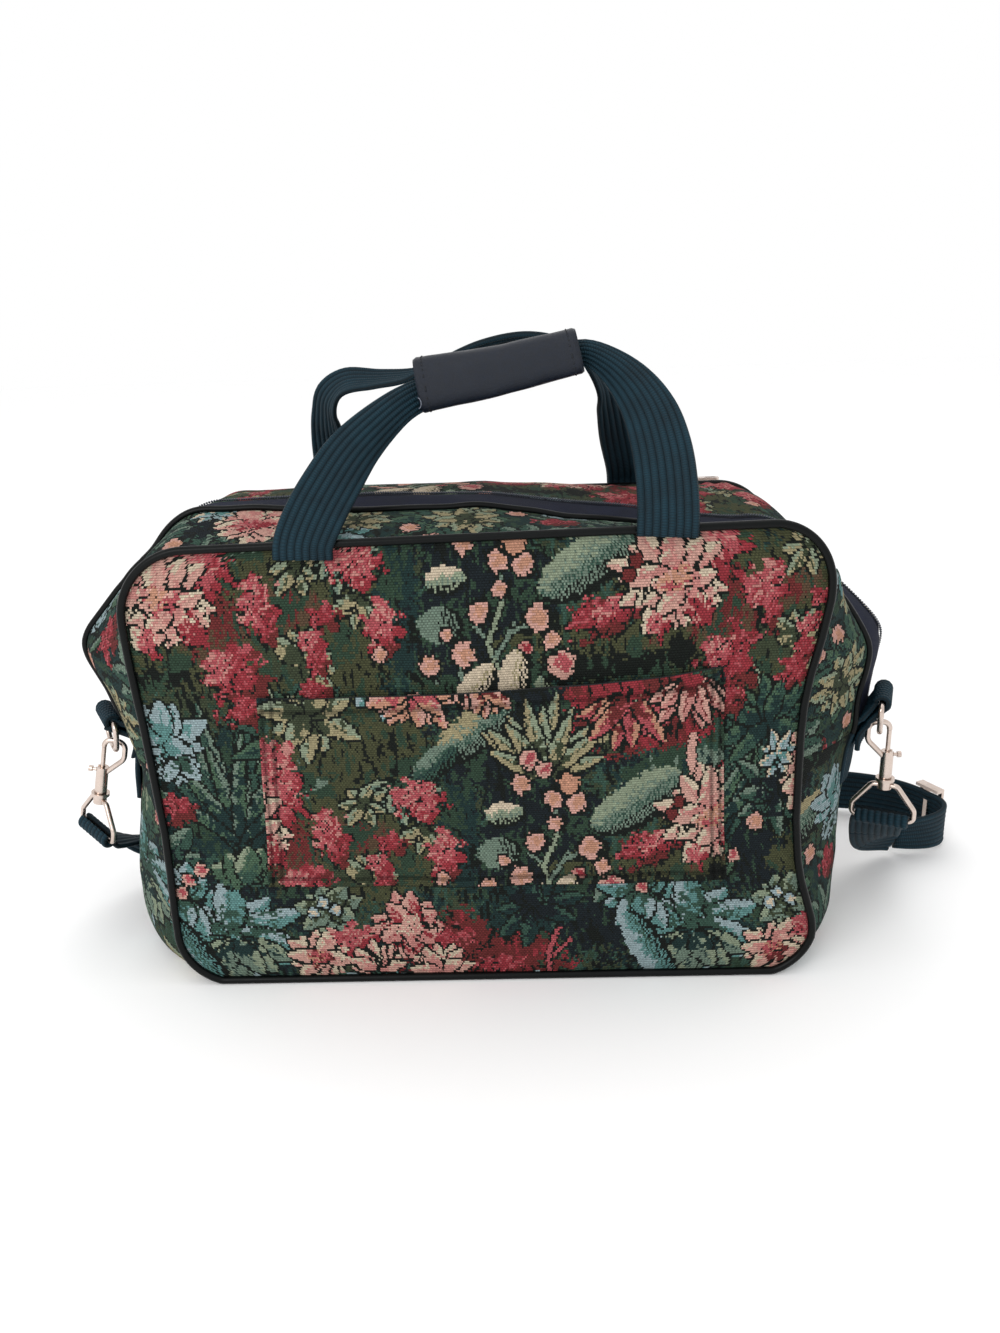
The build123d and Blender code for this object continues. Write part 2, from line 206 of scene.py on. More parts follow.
@dataclass(frozen=True)
class Bloom:
    """A full flower: ragged round petals in three shades, lit from the upper left."""

    x: float
    z: float
    wide: float
    tall: float
    yarns: tuple[Yarn, Yarn, Yarn] = (Yarn.BRICK, Yarn.CRIMSON, Yarn.BLUSH)
    petals: int = 7
    turn: float = 0.0

    def weave(self, loom: Loom) -> None:
        """Lay the shadow, the body, the deep side and the lit streaks."""
        at, dx, dz = loom.near(self.x, self.z, 1.5 * max(self.wide, self.tall))
        u, v = dx / self.wide, dz / self.tall
        angle, radius = np.arctan2(v, u), np.hypot(u, v)
        coarse, fine = loom.noise(at, 5.5) - 0.5, loom.noise(at, 1.7, 3) - 0.5
        droop = np.clip(-v, 0, 1) * (loom.strokes(at, 5) - 0.5)
        edge = 0.86 + 0.09 * np.cos(angle * self.petals + self.turn) + 0.75 * coarse
        edge = edge + 0.3 * fine + 0.8 * droop
        deep, body, light = self.yarns
        loom.lay(at, (radius < edge + 0.12) & (v < 0.1) & (fine < 0.1), Yarn.SHADOW)
        inside = radius < edge
        loom.lay(at, inside, body)
        loom.lay(at, inside & (0.5 * u - 0.6 * v + 1.2 * coarse + 0.8 * fine > 0.20), deep)
        loom.lay(at, inside & (radius > edge - 0.14) & (fine > 0), deep)
        streak = np.sin(angle * self.petals * 1.3 + 9 * coarse) + 1.8 * fine
        loom.lay(at, inside & (streak > 0.55) & (radius > 0.15) & (0.6 * v - 0.5 * u > -0.25), light)
        loom.lay(at, inside & (np.abs(coarse + 0.1 * fine) < 0.016) & (radius < 0.8), Yarn.SHADOW)


@dataclass(frozen=True)
class Leaf:
    """A broad leaf, pale along its upper side and hatched dark along its lower one."""

    x: float
    z: float
    long: float
    wide: float
    angle: float
    yarns: tuple[Yarn, Yarn, Yarn] = (Yarn.FERN, Yarn.MIST, Yarn.SAGE)
    hatch: float = 3.2

    def weave(self, loom: Loom) -> None:
        """Lay the leaf's shadow, its two tones and its hatching."""
        at, dx, dz = loom.near(self.x, self.z, 1.35 * self.long)
        c, s = math.cos(math.radians(self.angle)), math.sin(math.radians(self.angle))
        u, v = (dx * c + dz * s) / self.long, (dz * c - dx * s) / self.wide
        fine = loom.noise(at, 1.6) - 0.5
        edge = np.sqrt(np.clip(1 - u * u, 0, 1)) * (1 + 0.35 * fine)
        deep, body, light = self.yarns
        loom.lay(at, (np.abs(v + 0.18) < edge + 0.12) & (np.abs(u) < 1.02), Yarn.SHADOW)
        inside = (np.abs(v) < edge) & (np.abs(u) < 1)
        loom.lay(at, inside, body)
        loom.lay(at, inside & (v + 0.9 * fine + 0.3 * (loom.noise(at, 6) - 0.5) > 0.22), light)
        comb = (dx + 0.25 * dz + 2 * fine) / self.hatch % 1
        loom.lay(at, inside & (comb < 0.42) & (v + 0.25 * fine < -0.02), deep)
        loom.lay(at, inside & (comb < 0.5) & (v < -0.45), Yarn.SHADOW)


@dataclass(frozen=True)
class Spray:
    """Leaves or petals that stand out from one foot, over a whole turn or part of it."""

    x: float
    z: float
    reach: float
    wide: float
    count: int
    yarns: tuple[Yarn, Yarn, Yarn] = (Yarn.FERN, Yarn.MIST, Yarn.SAGE)
    start: float = 0.0
    sweep: float = 360.0
    bend: float = 0.0
    foot: float = 0.0
    squash: float = 1.0
    seed: int = 1

    def weave(self, loom: Loom) -> None:
        """Lay each petal over the last, with its dark edge, its vein and its lit side."""
        chance = np.random.default_rng(self.seed)
        at, dx, dz = loom.near(self.x, self.z, 1.2 * self.reach)
        dz = dz / self.squash
        fine, coarse = loom.noise(at, 1.7, 5) - 0.5, loom.noise(at, 5, 9) - 0.5
        deep, body, light = self.yarns
        for k in chance.permutation(self.count):
            angle = math.radians(self.start + self.sweep * (k + 0.5) / self.count + chance.uniform(-7, 7))
            long = self.reach * chance.uniform(0.72, 1.05)
            c, s = math.cos(angle), math.sin(angle)
            along, across = (dx * c + dz * s) / long, dz * c - dx * s
            across = across - self.bend * self.reach * along * along * (1 if c >= 0 else -1)
            half = self.wide * np.clip(np.sin(math.pi * np.clip(along, 0, 1) ** 0.8), 0, 1) ** 0.7
            half = half * (1 + 0.35 * fine)
            reach = (along > self.foot) & (along < 1)
            loom.lay(at, reach & (np.abs(across) < half + 1.7), Yarn.SHADOW)
            inside = reach & (np.abs(across) < half)
            loom.lay(at, inside, body)
            lit = across * (1 if c >= 0 else -1) / (half + 0.01) + 0.9 * (along - 0.6) + 0.9 * fine
            loom.lay(at, inside & (lit > 0.25), light)
            loom.lay(at, inside & (along + 0.8 * coarse + 0.5 * fine < 0.36), deep)
            loom.lay(at, inside & (np.abs(across) < 0.55) & (along < 0.8) & (fine < 0.2), deep)


@dataclass(frozen=True)
class Bud:
    """A small bud, pale outside with a warm heart and a dark edge."""

    x: float
    z: float
    size: float
    yarns: tuple[Yarn, Yarn] = (Yarn.PINK, Yarn.PEACH)

    def weave(self, loom: Loom) -> None:
        """Lay the dark edge, the cup and the heart."""
        at, dx, dz = loom.near(self.x, self.z, 2 * self.size)
        fine = loom.noise(at, 1.7, 13) - 0.5
        radius = np.hypot(dx / self.size, dz / (1.15 * self.size)) + 0.55 * fine
        loom.lay(at, radius < 1.25, Yarn.SHADOW)
        loom.lay(at, radius < 0.95, self.yarns[0])
        heart = np.hypot(dx / self.size - 0.15, dz / self.size - 0.1) + 0.7 * fine
        loom.lay(at, (heart < 0.62) & (radius < 0.95), self.yarns[1])


@dataclass(frozen=True)
class Stem:
    """A thin stem from one place to another, bowed to one side."""

    x: float
    z: float
    to_x: float
    to_z: float
    yarn: Yarn = Yarn.MIST
    wide: float = 1.4
    bow: float = 0.0

    def weave(self, loom: Loom) -> None:
        """Lay the stem with a dark edge."""
        run = math.hypot(self.to_x - self.x, self.to_z - self.z)
        at, dx, dz = loom.near(self.x, self.z, run + 4 + abs(self.bow))
        c, s = (self.to_x - self.x) / run, (self.to_z - self.z) / run
        along, across = (dx * c + dz * s) / run, dz * c - dx * s
        across = np.abs(across - 4 * self.bow * along * (1 - along)) + 0.8 * (loom.noise(at, 1.8) - 0.5)
        reach = (along > 0) & (along < 1)
        loom.lay(at, reach & (across < self.wide + 1.2), Yarn.SHADOW)
        loom.lay(at, reach & (across < self.wide), self.yarn)


@dataclass
class Tapestry:
    """The cloth's woven garden: one repeat of grounds, leaves and flowers."""

    row_shift: float = 0.9
    depth: float = 0.83
    strength: float = 0.9
    warmth: tuple = (1.0, 0.985, 0.95)
    pale: tuple[Yarn, Yarn, Yarn] = (Yarn.BLUSH, Yarn.PINK, Yarn.CREAM)
    rosy: tuple[Yarn, Yarn, Yarn] = (Yarn.CRIMSON, Yarn.ROSE, Yarn.BLUSH)
    red: tuple[Yarn, Yarn, Yarn] = (Yarn.BRICK, Yarn.CRIMSON, Yarn.ROSE)
    water: tuple[Yarn, Yarn, Yarn] = (Yarn.FERN, Yarn.TEAL, Yarn.SKY)
    dusk: tuple[Yarn, Yarn, Yarn] = (Yarn.BOTTLE, Yarn.FERN, Yarn.LEAF)
    straw: tuple[Yarn, Yarn, Yarn] = (Yarn.MOSS, Yarn.SAND, Yarn.SAGE)
    blades: tuple[Yarn, Yarn, Yarn] = (Yarn.BOTTLE, Yarn.FERN, Yarn.MIST)

    def grounds(self) -> list:
        """Patches of ground, first to last."""
        return [
            Field(150, 270, 74, 66, Yarn.OLIVE), Field(232, 268, 44, 56, Yarn.OLIVE),
            Field(190, 340, 60, 44, Yarn.OLIVE), Field(196, 245, 30, 16, Yarn.MOSS),
            Field(152, 258, 24, 15, Yarn.UMBER, Yarn.BRICK),
            Field(104, 250, 16, 10, Yarn.UMBER, Yarn.BRICK),
            Field(200, 278, 20, 14, Yarn.UMBER, Yarn.BRICK),
            Field(150, 275, 18, 22, Yarn.BRICK, Yarn.UMBER), Field(-51, 275, 15, 62, Yarn.BOTTLE),
            Field(2, 266, 47, 64, Yarn.NIGHT), Field(84, 234, 60, 11, Yarn.SHADOW),
            Field(70, 250, 60, 12, Yarn.OLIVE),
            Field(72, 362, 62, 30, Yarn.BRICK, Yarn.SHADOW, Yarn.CRIMSON),
            Field(-14, 18, 62, 42, Yarn.BRICK, Yarn.SHADOW, Yarn.CRIMSON),
            Field(120, 318, 60, 16, Yarn.GREEN, Yarn.BOTTLE, Yarn.MIST),
            Field(160, 150, 60, 60, Yarn.BOTTLE), Field(196, 110, 34, 60, Yarn.NIGHT),
            Field(40, 120, 80, 50, Yarn.BOTTLE), Field(90, 60, 60, 40, Yarn.NIGHT),
            Field(20, 70, 34, 26, Yarn.BOTTLE), Field(-80, 90, 40, 30, Yarn.OLIVE),
            Field(-20, 345, 40, 50, Yarn.NIGHT), Field(126, 205, 28, 22, Yarn.MOSS),
        ]

    def leaves(self) -> list:
        """Leaves, blades and rosettes."""
        return [
            Spray(232, 316, 34, 5, 9, (Yarn.GREEN, Yarn.MIST, Yarn.SAGE), 190, 160, seed=3),
            Spray(206, 240, 26, 6, 7, self.straw, 300, 200, seed=4),
            Spray(183, 205, 26, 6, 7, self.straw, 300, 200, seed=5),
            Spray(176, 366, 38, 7, 11, self.straw, 10, 330, seed=6),
            Leaf(-22, 291, 13, 8, 8, (Yarn.MIST, Yarn.SAGE, Yarn.CREAM)),
            Leaf(-27, 262, 12, 13, 80, (Yarn.SHADOW, Yarn.MIST, Yarn.MIST)),
            Leaf(68, 299, 36, 15, 33, (Yarn.FERN, Yarn.MIST, Yarn.SAGE), 2.6),
            Leaf(-40, 352, 30, 13, 38, (Yarn.FERN, Yarn.MIST, Yarn.SAND), 2.8),
            Leaf(-66, 330, 18, 9, 40, (Yarn.BOTTLE, Yarn.FERN, Yarn.MIST), 2.8),
            Spray(6, 316, 58, 5, 15, self.straw, 22, 136, foot=0.12, seed=7),
            Spray(52, 330, 42, 4, 6, self.straw, 60, 60, foot=0.1, seed=8),
            Spray(156, 100, 118, 5.5, 9, self.blades, 44, 88, 0.06, seed=9),
            Spray(150, 112, 84, 4.5, 6, (Yarn.BOTTLE, Yarn.LEAF, Yarn.MIST), 30, 120, -0.08, seed=10),
            Spray(137, 44, 52, 11, 11, self.water, 0, 360, 0.05, squash=0.85, seed=12),
            Spray(140, 36, 44, 8, 7, (Yarn.BOTTLE, Yarn.MIST, Yarn.SAGE), 200, 150, seed=13),
            Spray(152, 82, 30, 9, 5, (Yarn.FERN, Yarn.LEAF, Yarn.SAGE), 20, 140, seed=14),
            Spray(207, 60, 24, 7, 9, (Yarn.MOSS, Yarn.MIST, Yarn.SAGE), seed=15),
            Spray(196, 190, 44, 6, 12, self.dusk, seed=16),
            Spray(205, 140, 38, 6, 11, (Yarn.NIGHT, Yarn.FERN, Yarn.MIST), seed=17),
            Spray(40, 150, 46, 8, 12, self.dusk, seed=18),
            Spray(-40, 120, 40, 8, 10, self.water, seed=19),
            Spray(92, 96, 40, 8, 10, (Yarn.NIGHT, Yarn.FERN, Yarn.MIST), seed=20),
            Spray(30, 60, 34, 6, 9, (Yarn.NIGHT, Yarn.BOTTLE, Yarn.FERN), seed=21),
            Leaf(-74, 170, 34, 14, 30), Leaf(8, 196, 30, 12, -24, (Yarn.BOTTLE, Yarn.LEAF, Yarn.MIST)),
            Leaf(78, 190, 32, 13, 24, (Yarn.FERN, Yarn.MIST, Yarn.SAND)),
            Spray(236, 160, 30, 6, 8, (Yarn.MOSS, Yarn.LEAF, Yarn.SAGE), seed=22),
            Spray(-88, 392, 34, 7, 9, self.water, seed=24), Leaf(10, 394, 34, 12, 12, self.water),
            Spray(246, 282, 22, 4, 7, self.straw, 200, 140, seed=25),
            Spray(206, 300, 20, 4, 7, self.straw, seed=26),
            Spray(104, 70, 34, 8, 9, self.water, 20, 300, seed=27),
            Leaf(108, 22, 36, 11, 118, self.water),
        ]

    def flowers(self) -> list:
        """Flowers, from the back of the garden to its front."""
        buds = [
            (11, 300, 6), (27, 298, 6.5), (-1, 270, 6.5), (36, 264, 7.5), (-12, 243, 7), (-34, 236, 6),
            (-46, 212, 6), (62, 214, 5), (-66, 244, 4.5), (12, 283, 4.5), (44, 250, 5), (-22, 256, 4),
        ]
        wine = (Yarn.BLUSH, Yarn.CRIMSON)
        return [
            Bloom(150, 322, 20, 28, self.rosy, 6), Bloom(150, 303, 20, 22, self.rosy, 5, 1),
            Bloom(181, 277, 15, 19, self.rosy, 6, 2), Bloom(187, 262, 8, 12, self.red, 5),
            Bloom(244, 305, 20, 15, self.rosy, 7), Bloom(250, 294, 9, 9, self.rosy, 5),
            Bloom(260, 263, 13, 18, self.rosy, 6, 1), Bloom(262, 250, 7, 9, self.red, 5),
            Bloom(222, 270, 12, 10, self.red, 5), Bloom(213, 254, 9, 11, self.rosy, 5, 2),
            Bloom(216, 238, 9, 10, self.red, 6), Bloom(212, 222, 14, 11, self.red, 7, 1),
            Bloom(162, 230, 22, 27, self.red, 8, 0.5), Bloom(154, 236, 12, 16, self.rosy, 7),
            Bloom(166, 208, 13, 11, self.red, 6), Bloom(77, 264, 24, 15, self.red, 7),
            Bloom(84, 268, 14, 8, self.rosy, 6), Stem(116, 306, 108, 345, Yarn.PINK, 3, 5),
            Spray(120, 287, 40, 7.5, 17, self.pale, 20, 330, squash=0.95, seed=31),
            Spray(128, 278, 30, 6, 12, self.pale, 150, 240, seed=32),
            Bloom(122, 284, 13, 9, (Yarn.ROSE, Yarn.PEACH, Yarn.PINK), 6),
            Bloom(140, 264, 11, 12, (Yarn.CRIMSON, Yarn.CRIMSON, Yarn.BLUSH), 7),
            Bloom(112, 256, 7, 10, self.rosy, 5), Bud(98, 297, 4, (Yarn.BRICK, Yarn.BRICK)),
            Bud(93, 288, 4, (Yarn.BRICK, Yarn.BRICK)),
            Spray(64, 372, 40, 5.5, 10, (Yarn.BRICK, Yarn.ROSE, Yarn.PEACH), 195, 150, foot=0.15, seed=33),
            Spray(104, 380, 34, 5, 9, (Yarn.BRICK, Yarn.BLUSH, Yarn.PINK), 190, 150, foot=0.2, seed=34),
            Spray(-76, 382, 34, 5.5, 11, (Yarn.ROSE, Yarn.PEACH, Yarn.PINK), 185, 170, seed=35),
            Spray(-34, 384, 26, 5, 8, (Yarn.BRICK, Yarn.PEACH, Yarn.PINK), 200, 140, seed=36),
            Stem(10, 232, 2, 254, Yarn.SAGE), Stem(2, 254, -6, 262), Stem(4, 250, 14, 276, Yarn.SAGE),
            Stem(8, 240, 22, 262), Stem(14, 276, 12, 292), Stem(-30, 224, -34, 236),
            Stem(44, 224, 50, 240), Stem(18, 256, 34, 262), Stem(-14, 226, -13, 240),
            *[Bud(x, z, size) for x, z, size in buds], Bud(28, 245, 4.5, wine),
            Bud(51, 234, 8.5, (Yarn.PINK, Yarn.ROSE)), Bud(-4, 330, 6, (Yarn.PINK, Yarn.ROSE)),
            Bud(6, 322, 5, (Yarn.PINK, Yarn.ROSE)), Bud(22, 312, 7, (Yarn.PEACH, Yarn.PEACH)),
            Bud(-10, 312, 6, (Yarn.PINK, Yarn.PEACH)),
            Leaf(-5, 224, 17, 8, 48, (Yarn.SAND, Yarn.CREAM, Yarn.CREAM)),
            Leaf(19, 226, 19, 9, 78, (Yarn.SAND, Yarn.CREAM, Yarn.CREAM)),
            Leaf(38, 216, 11, 5, 100, (Yarn.MIST, Yarn.SAGE, Yarn.SAGE)),
            Spray(112, 192, 31, 7.5, 9, (Yarn.TEAL, Yarn.SKY, Yarn.SKY), 0, 360, 0.12, seed=37),
            Spray(116, 176, 22, 5, 6, (Yarn.FERN, Yarn.SKY, Yarn.SKY), 200, 150, seed=38),
            Spray(-58, 44, 31, 7, 15, (Yarn.CRIMSON, Yarn.BLUSH, Yarn.PINK), seed=39),
            Bloom(-57, 44, 11, 11, self.pale, 7), Bloom(-28, 30, 22, 18, self.red, 7),
            Spray(198, 22, 30, 6.5, 13, self.pale, 0, 360, squash=0.9, seed=40),
            Bloom(198, 20, 9, 8, (Yarn.BRICK, Yarn.ROSE, Yarn.PEACH), 6),
            Bloom(224, 36, 17, 14, self.rosy, 7), Bloom(6, 10, 22, 12, self.red, 8),
            Spray(236, 10, 24, 5, 9, self.pale, 0, 180, seed=41),
            Spray(-40, 6, 26, 5, 9, self.pale, 0, 180, seed=42),
            *[Bud(x, z, 4.5, (Yarn.PINK, Yarn.ROSE)) for x, z in ((110, 84), (104, 74), (120, 92), (172, 96))],
            Stem(38, 2, 46, 44, Yarn.ROSE, 1.6, 3), Stem(42, 20, 54, 34, Yarn.ROSE, 1.4),
            *[Bud(x, z, 4, (Yarn.SKY, Yarn.CREAM)) for x, z in ((204, 66), (212, 60), (196, 58))],
            Spray(-84, 150, 40, 8, 17, self.pale, seed=45), Bloom(-90, 146, 13, 11, self.rosy, 7),
            Spray(52, 146, 30, 6, 12, self.straw, seed=43),
            Spray(-22, 150, 30, 6, 11, self.straw, seed=46), Bloom(110, 140, 16, 13, self.red, 7),
            *[Bud(x, z, 6) for x, z in ((16, 130), (30, 112), (-24, 100), (84, 160), (190, 120), (-60, 200))],
            Spray(206, 168, 18, 4, 8, (Yarn.TEAL, Yarn.SKY, Yarn.CREAM), seed=44),
        ]

    def weave(self, x: np.ndarray, z: np.ndarray, rows: np.ndarray, picks: np.ndarray) -> np.ndarray:
        """Colours of the stitches of one piece.

        Args:
            x: place of each stitch across the pattern.
            z: place of each stitch up the pattern.
            rows: number of each stitch's row.
            picks: number of each stitch along its row.

        Returns:
            sRGB colours, one row for each stitch.
        """
        chance = np.random.default_rng(5)
        shift = chance.uniform(-self.row_shift, self.row_shift, rows.max() + 1)[rows]
        loom = Loom(x + shift, z)
        for motif in self.grounds() + self.leaves() + self.flowers():
            motif.weave(loom)
        colour = loom.colour
        dash = np.where((picks + rows) % 2 == 0, 1.0, -1.0)[:, None]
        light = colour.mean(axis=1, keepdims=True)
        colour = light + (colour - light) * self.strength
        uneven = chance.normal(0, 0.05, (len(colour), 1))
        colour = colour * (1 + uneven + dash * (0.03 + 0.05 * (light < 0.5))) * np.array(self.warmth)
        return np.clip(colour * self.depth, 0, 1)


# ---- node groups and finishes -------------------------------------------------------------------
def new_group(name: str, inputs: dict[str, float | tuple], outputs: dict[str, str]) -> tuple:
    """Start a shader node group.

    Args:
        name: the group's name.
        inputs: each input socket's name and default; a tuple makes a vector.
        outputs: each output socket's name and type.

    Returns:
        The group's tree, its input node and its output node.
    """
    tree = bpy.data.node_groups.new(name, "ShaderNodeTree")
    for label, default in inputs.items():
        kind = "NodeSocketVector" if isinstance(default, tuple) else "NodeSocketFloat"
        tree.interface.new_socket(label, in_out="INPUT", socket_type=kind).default_value = default
    for label, kind in outputs.items():
        tree.interface.new_socket(label, in_out="OUTPUT", socket_type=kind)
    return tree, tree.nodes.new("NodeGroupInput"), tree.nodes.new("NodeGroupOutput")


def math_node(tree: bpy.types.NodeTree, operation: str, first: object, second: object = 0.0) -> object:
    """Add one Math node; each operand is a socket or a number.

    Returns:
        The node's output socket.
    """
    node = tree.nodes.new("ShaderNodeMath")
    node.operation = operation
    for socket, value in zip(node.inputs, (first, second)):
        if isinstance(value, (int, float)):
            socket.default_value = value
        else:
            tree.links.new(value, socket)
    return node.outputs[0]


def ribs_group() -> bpy.types.NodeTree:
    """Weave of raised rows: pale crowns, dark gaps, and picks that alternate from row to row; the Shade output
    follows the height, partly the darker threads in the gaps and partly painted shade on the relief.

    Returns:
        A group with Vector, Row and Pick inputs, and Height and Shade outputs.
    """
    tree, source, sink = new_group(
        "WovenRibs", {"Vector": (0.0, 0.0, 0.0), "Row": ROW, "Pick": PICK},
        {"Height": "NodeSocketFloat", "Shade": "NodeSocketFloat"},
    )
    split = tree.nodes.new("ShaderNodeSeparateXYZ")
    tree.links.new(source.outputs["Vector"], split.inputs[0])
    row = math_node(tree, "DIVIDE", split.outputs["Y"], source.outputs["Row"])
    pick = math_node(tree, "DIVIDE", split.outputs["X"], source.outputs["Pick"])
    crown = math_node(tree, "SINE", math_node(tree, "MULTIPLY", math_node(tree, "FRACT", row), math.pi))
    half_step = math_node(tree, "MULTIPLY", math_node(tree, "FLOOR", row), 0.5)
    across = math_node(tree, "FRACT", math_node(tree, "ADD", pick, half_step))
    bead = math_node(tree, "SINE", math_node(tree, "MULTIPLY", across, math.pi))
    crown = math_node(tree, "POWER", crown, 0.6)
    bead = math_node(tree, "ADD", math_node(tree, "MULTIPLY", bead, 0.45), 0.55)
    height = math_node(tree, "MULTIPLY", crown, bead)
    tree.links.new(height, sink.inputs["Height"])
    tree.links.new(height, sink.inputs["Shade"])
    return tree


def mottle_group() -> bpy.types.NodeTree:
    """Soft patches of wear and handling.

    Returns:
        A group with Vector and Scale inputs, and Mask and Fine outputs.
    """
    tree, source, sink = new_group(
        "Mottle", {"Vector": (0.0, 0.0, 0.0), "Scale": 60.0},
        {"Mask": "NodeSocketFloat", "Fine": "NodeSocketFloat"},
    )
    for output, times in (("Mask", 1.0), ("Fine", 9.0)):
        noise = tree.nodes.new("ShaderNodeTexNoise")
        noise.inputs["Detail"].default_value = 4.0
        tree.links.new(source.outputs["Vector"], noise.inputs["Vector"])
        tree.links.new(math_node(tree, "MULTIPLY", source.outputs["Scale"], times), noise.inputs["Scale"])
        tree.links.new(noise.outputs["Fac"], sink.inputs[output])
    return tree


class Groups:
    """The shared node groups, built once."""

    ribs = ribs_group()
    mottle = mottle_group()


class Weave(Enum):
    """Where a finish takes its coordinates from."""

    SURFACE = "UV"
    SOLID = "Object"


@dataclass(frozen=True)
class Finish:
    """One finish: a colour varied by wear, with an optional weave over it whose gaps are darker and crowns
    paler, partly darker threads and partly painted shade.
    """

    name: str
    colour: str
    dark: str
    roughness: float
    coordinates: Weave = Weave.SOLID
    row: float = 0.0
    pick: float = 0.0
    attribute: str = ""
    # How far the weave darkens its gaps: partly darker threads there, partly painted shade.
    gap: float = 0.45
    metallic: float = 0.0
    mottle: float = 60.0
    rough_spread: float = 0.12
    bump: float = 0.00025
    specular: float = 0.5

    @staticmethod
    def linear(code: str) -> tuple[float, float, float, float]:
        """Turn an sRGB hex code into a linear colour."""
        parts = [int(code[i:i + 2], 16) / 255 for i in (0, 2, 4)]
        return (*[p / 12.92 if p <= 0.04045 else ((p + 0.055) / 1.055) ** 2.4 for p in parts], 1.0)

    def make(self) -> bpy.types.Material:
        """Build the material.

        Returns:
            The node material.
        """
        material = bpy.data.materials.new(self.name)
        material.use_nodes = True
        tree = material.node_tree
        shader = tree.nodes["Principled BSDF"]
        place = tree.nodes.new("ShaderNodeTexCoord")
        wear = tree.nodes.new("ShaderNodeGroup")
        wear.node_tree = Groups.mottle
        wear.inputs["Scale"].default_value = self.mottle
        tree.links.new(place.outputs["Object"], wear.inputs["Vector"])
        tone = tree.nodes.new("ShaderNodeMix")
        tone.data_type = "RGBA"
        tone.inputs["A"].default_value = self.linear(self.dark)
        tone.inputs["B"].default_value = self.linear(self.colour)
        tree.links.new(wear.outputs["Mask"], tone.inputs["Factor"])
        colour = tone.outputs["Result"]
        if self.attribute:
            yarn = tree.nodes.new("ShaderNodeAttribute")
            yarn.attribute_name = self.attribute
            colour = yarn.outputs["Color"]
        height = wear.outputs["Fine"]
        if self.row:
            ribs = tree.nodes.new("ShaderNodeGroup")
            ribs.node_tree = Groups.ribs
            ribs.inputs["Row"].default_value = self.row
            ribs.inputs["Pick"].default_value = self.pick
            tree.links.new(place.outputs[self.coordinates.value], ribs.inputs["Vector"])
            # Painted shade from the weave's relief, darker in the gaps and paler on the crowns, together with
            # the darker threads between the rows.
            shade = math_node(tree, "MULTIPLY", ribs.outputs["Shade"], self.gap)
            shade = math_node(tree, "ADD", shade, 1 - self.gap * 0.6)
            worn = math_node(tree, "ADD", math_node(tree, "MULTIPLY", wear.outputs["Mask"], 0.3), 0.85)
            darken = tree.nodes.new("ShaderNodeMix")
            darken.data_type = "RGBA"
            darken.blend_type = "MULTIPLY"
            darken.inputs["Factor"].default_value = 1.0
            tree.links.new(colour, darken.inputs["A"])
            tree.links.new(math_node(tree, "MULTIPLY", shade, worn), darken.inputs["B"])
            colour = darken.outputs["Result"]
            height = ribs.outputs["Height"]
        tree.links.new(colour, shader.inputs["Base Color"])
        spread = math_node(tree, "MULTIPLY", wear.outputs["Mask"], self.rough_spread)
        tree.links.new(math_node(tree, "ADD", spread, self.roughness), shader.inputs["Roughness"])
        bump = tree.nodes.new("ShaderNodeBump")
        bump.inputs["Distance"].default_value = self.bump
        bump.inputs["Strength"].default_value = 0.9
        tree.links.new(height, bump.inputs["Height"])
        tree.links.new(bump.outputs["Normal"], shader.inputs["Normal"])
        shader.inputs["Metallic"].default_value = self.metallic
        shader.inputs["Specular IOR Level"].default_value = self.specular
        return material


class Finishes:
    """Every finish of the bag, made once."""

    tapestry = Finish(
        "Tapestry", "484E34", "30382A", 0.85, Weave.SURFACE, ROW, PICK, "yarn", 0.75, bump=0.0004,
        specular=0.12,
    ).make()
    lining = Finish("Lining", "23282B", "16191B", 0.8, Weave.SURFACE, 0.0008, 0.0008, mottle=30).make()
    webbing = Finish(
        "Webbing", "0F2C37", "071B24", 0.6, Weave.SURFACE, WEBBING_RIB, 0.0016, "", 1.1, bump=0.0009,
        specular=0.2,
    ).make()
    piping = Finish("Piping", "080B0B", "030505", 0.3, mottle=90, bump=0.00012, specular=0.14).make()
    zip_tape = Finish(
        "ZipTape", "181D30", "0D111F", 0.8, Weave.SURFACE, 0.0011, 0.0009, "", 0.4, specular=0.15,
    ).make()
    zip_teeth = Finish("ZipTeeth", "20283A", "151B2A", 0.35, mottle=200).make()
    nickel = Finish(
        "Nickel", "E2D3C9", "B9A79C", 0.14, metallic=1.0, mottle=140, rough_spread=0.22, bump=0.00003,
    ).make()
    steel = Finish("SpringSteel", "9A9A9A", "707070", 0.3, metallic=1.0, mottle=300).make()
    grip = Finish(
        "Leatherette", "0C1727", "060C16", 0.32, mottle=260, rough_spread=0.2, bump=0.0004, specular=0.34,
    ).make()
    thread = Finish("Thread", "0F151D", "0A0E14", 0.6, mottle=400).make()
    pale_thread = Finish("PaleThread", "8C93A0", "707683", 0.6, mottle=400).make()
    board = Finish("Board", "2A2A2A", "1C1C1C", 0.8, mottle=50).make()


# ---- mesh helpers ----------------------------------------------------------------------------------
def link_mesh(name: str, points: np.ndarray, faces: list, materials: list) -> bpy.types.Object:
    """Make a smooth-shaded object from points and faces.

    Args:
        name: the piece's name.
        points: vertex positions in metres.
        faces: vertex numbers of each face.
        materials: the material slots.

    Returns:
        The object, at the origin.
    """
    mesh = bpy.data.meshes.new(name)
    mesh.from_pydata(np.asarray(points, float).tolist(), [], faces)
    for material in materials:
        mesh.materials.append(material)
    mesh.polygons.foreach_set("use_smooth", np.full(len(mesh.polygons), True))
    mesh.update()
    piece = bpy.data.objects.new(name, mesh)
    bpy.context.scene.collection.objects.link(piece)
    return piece


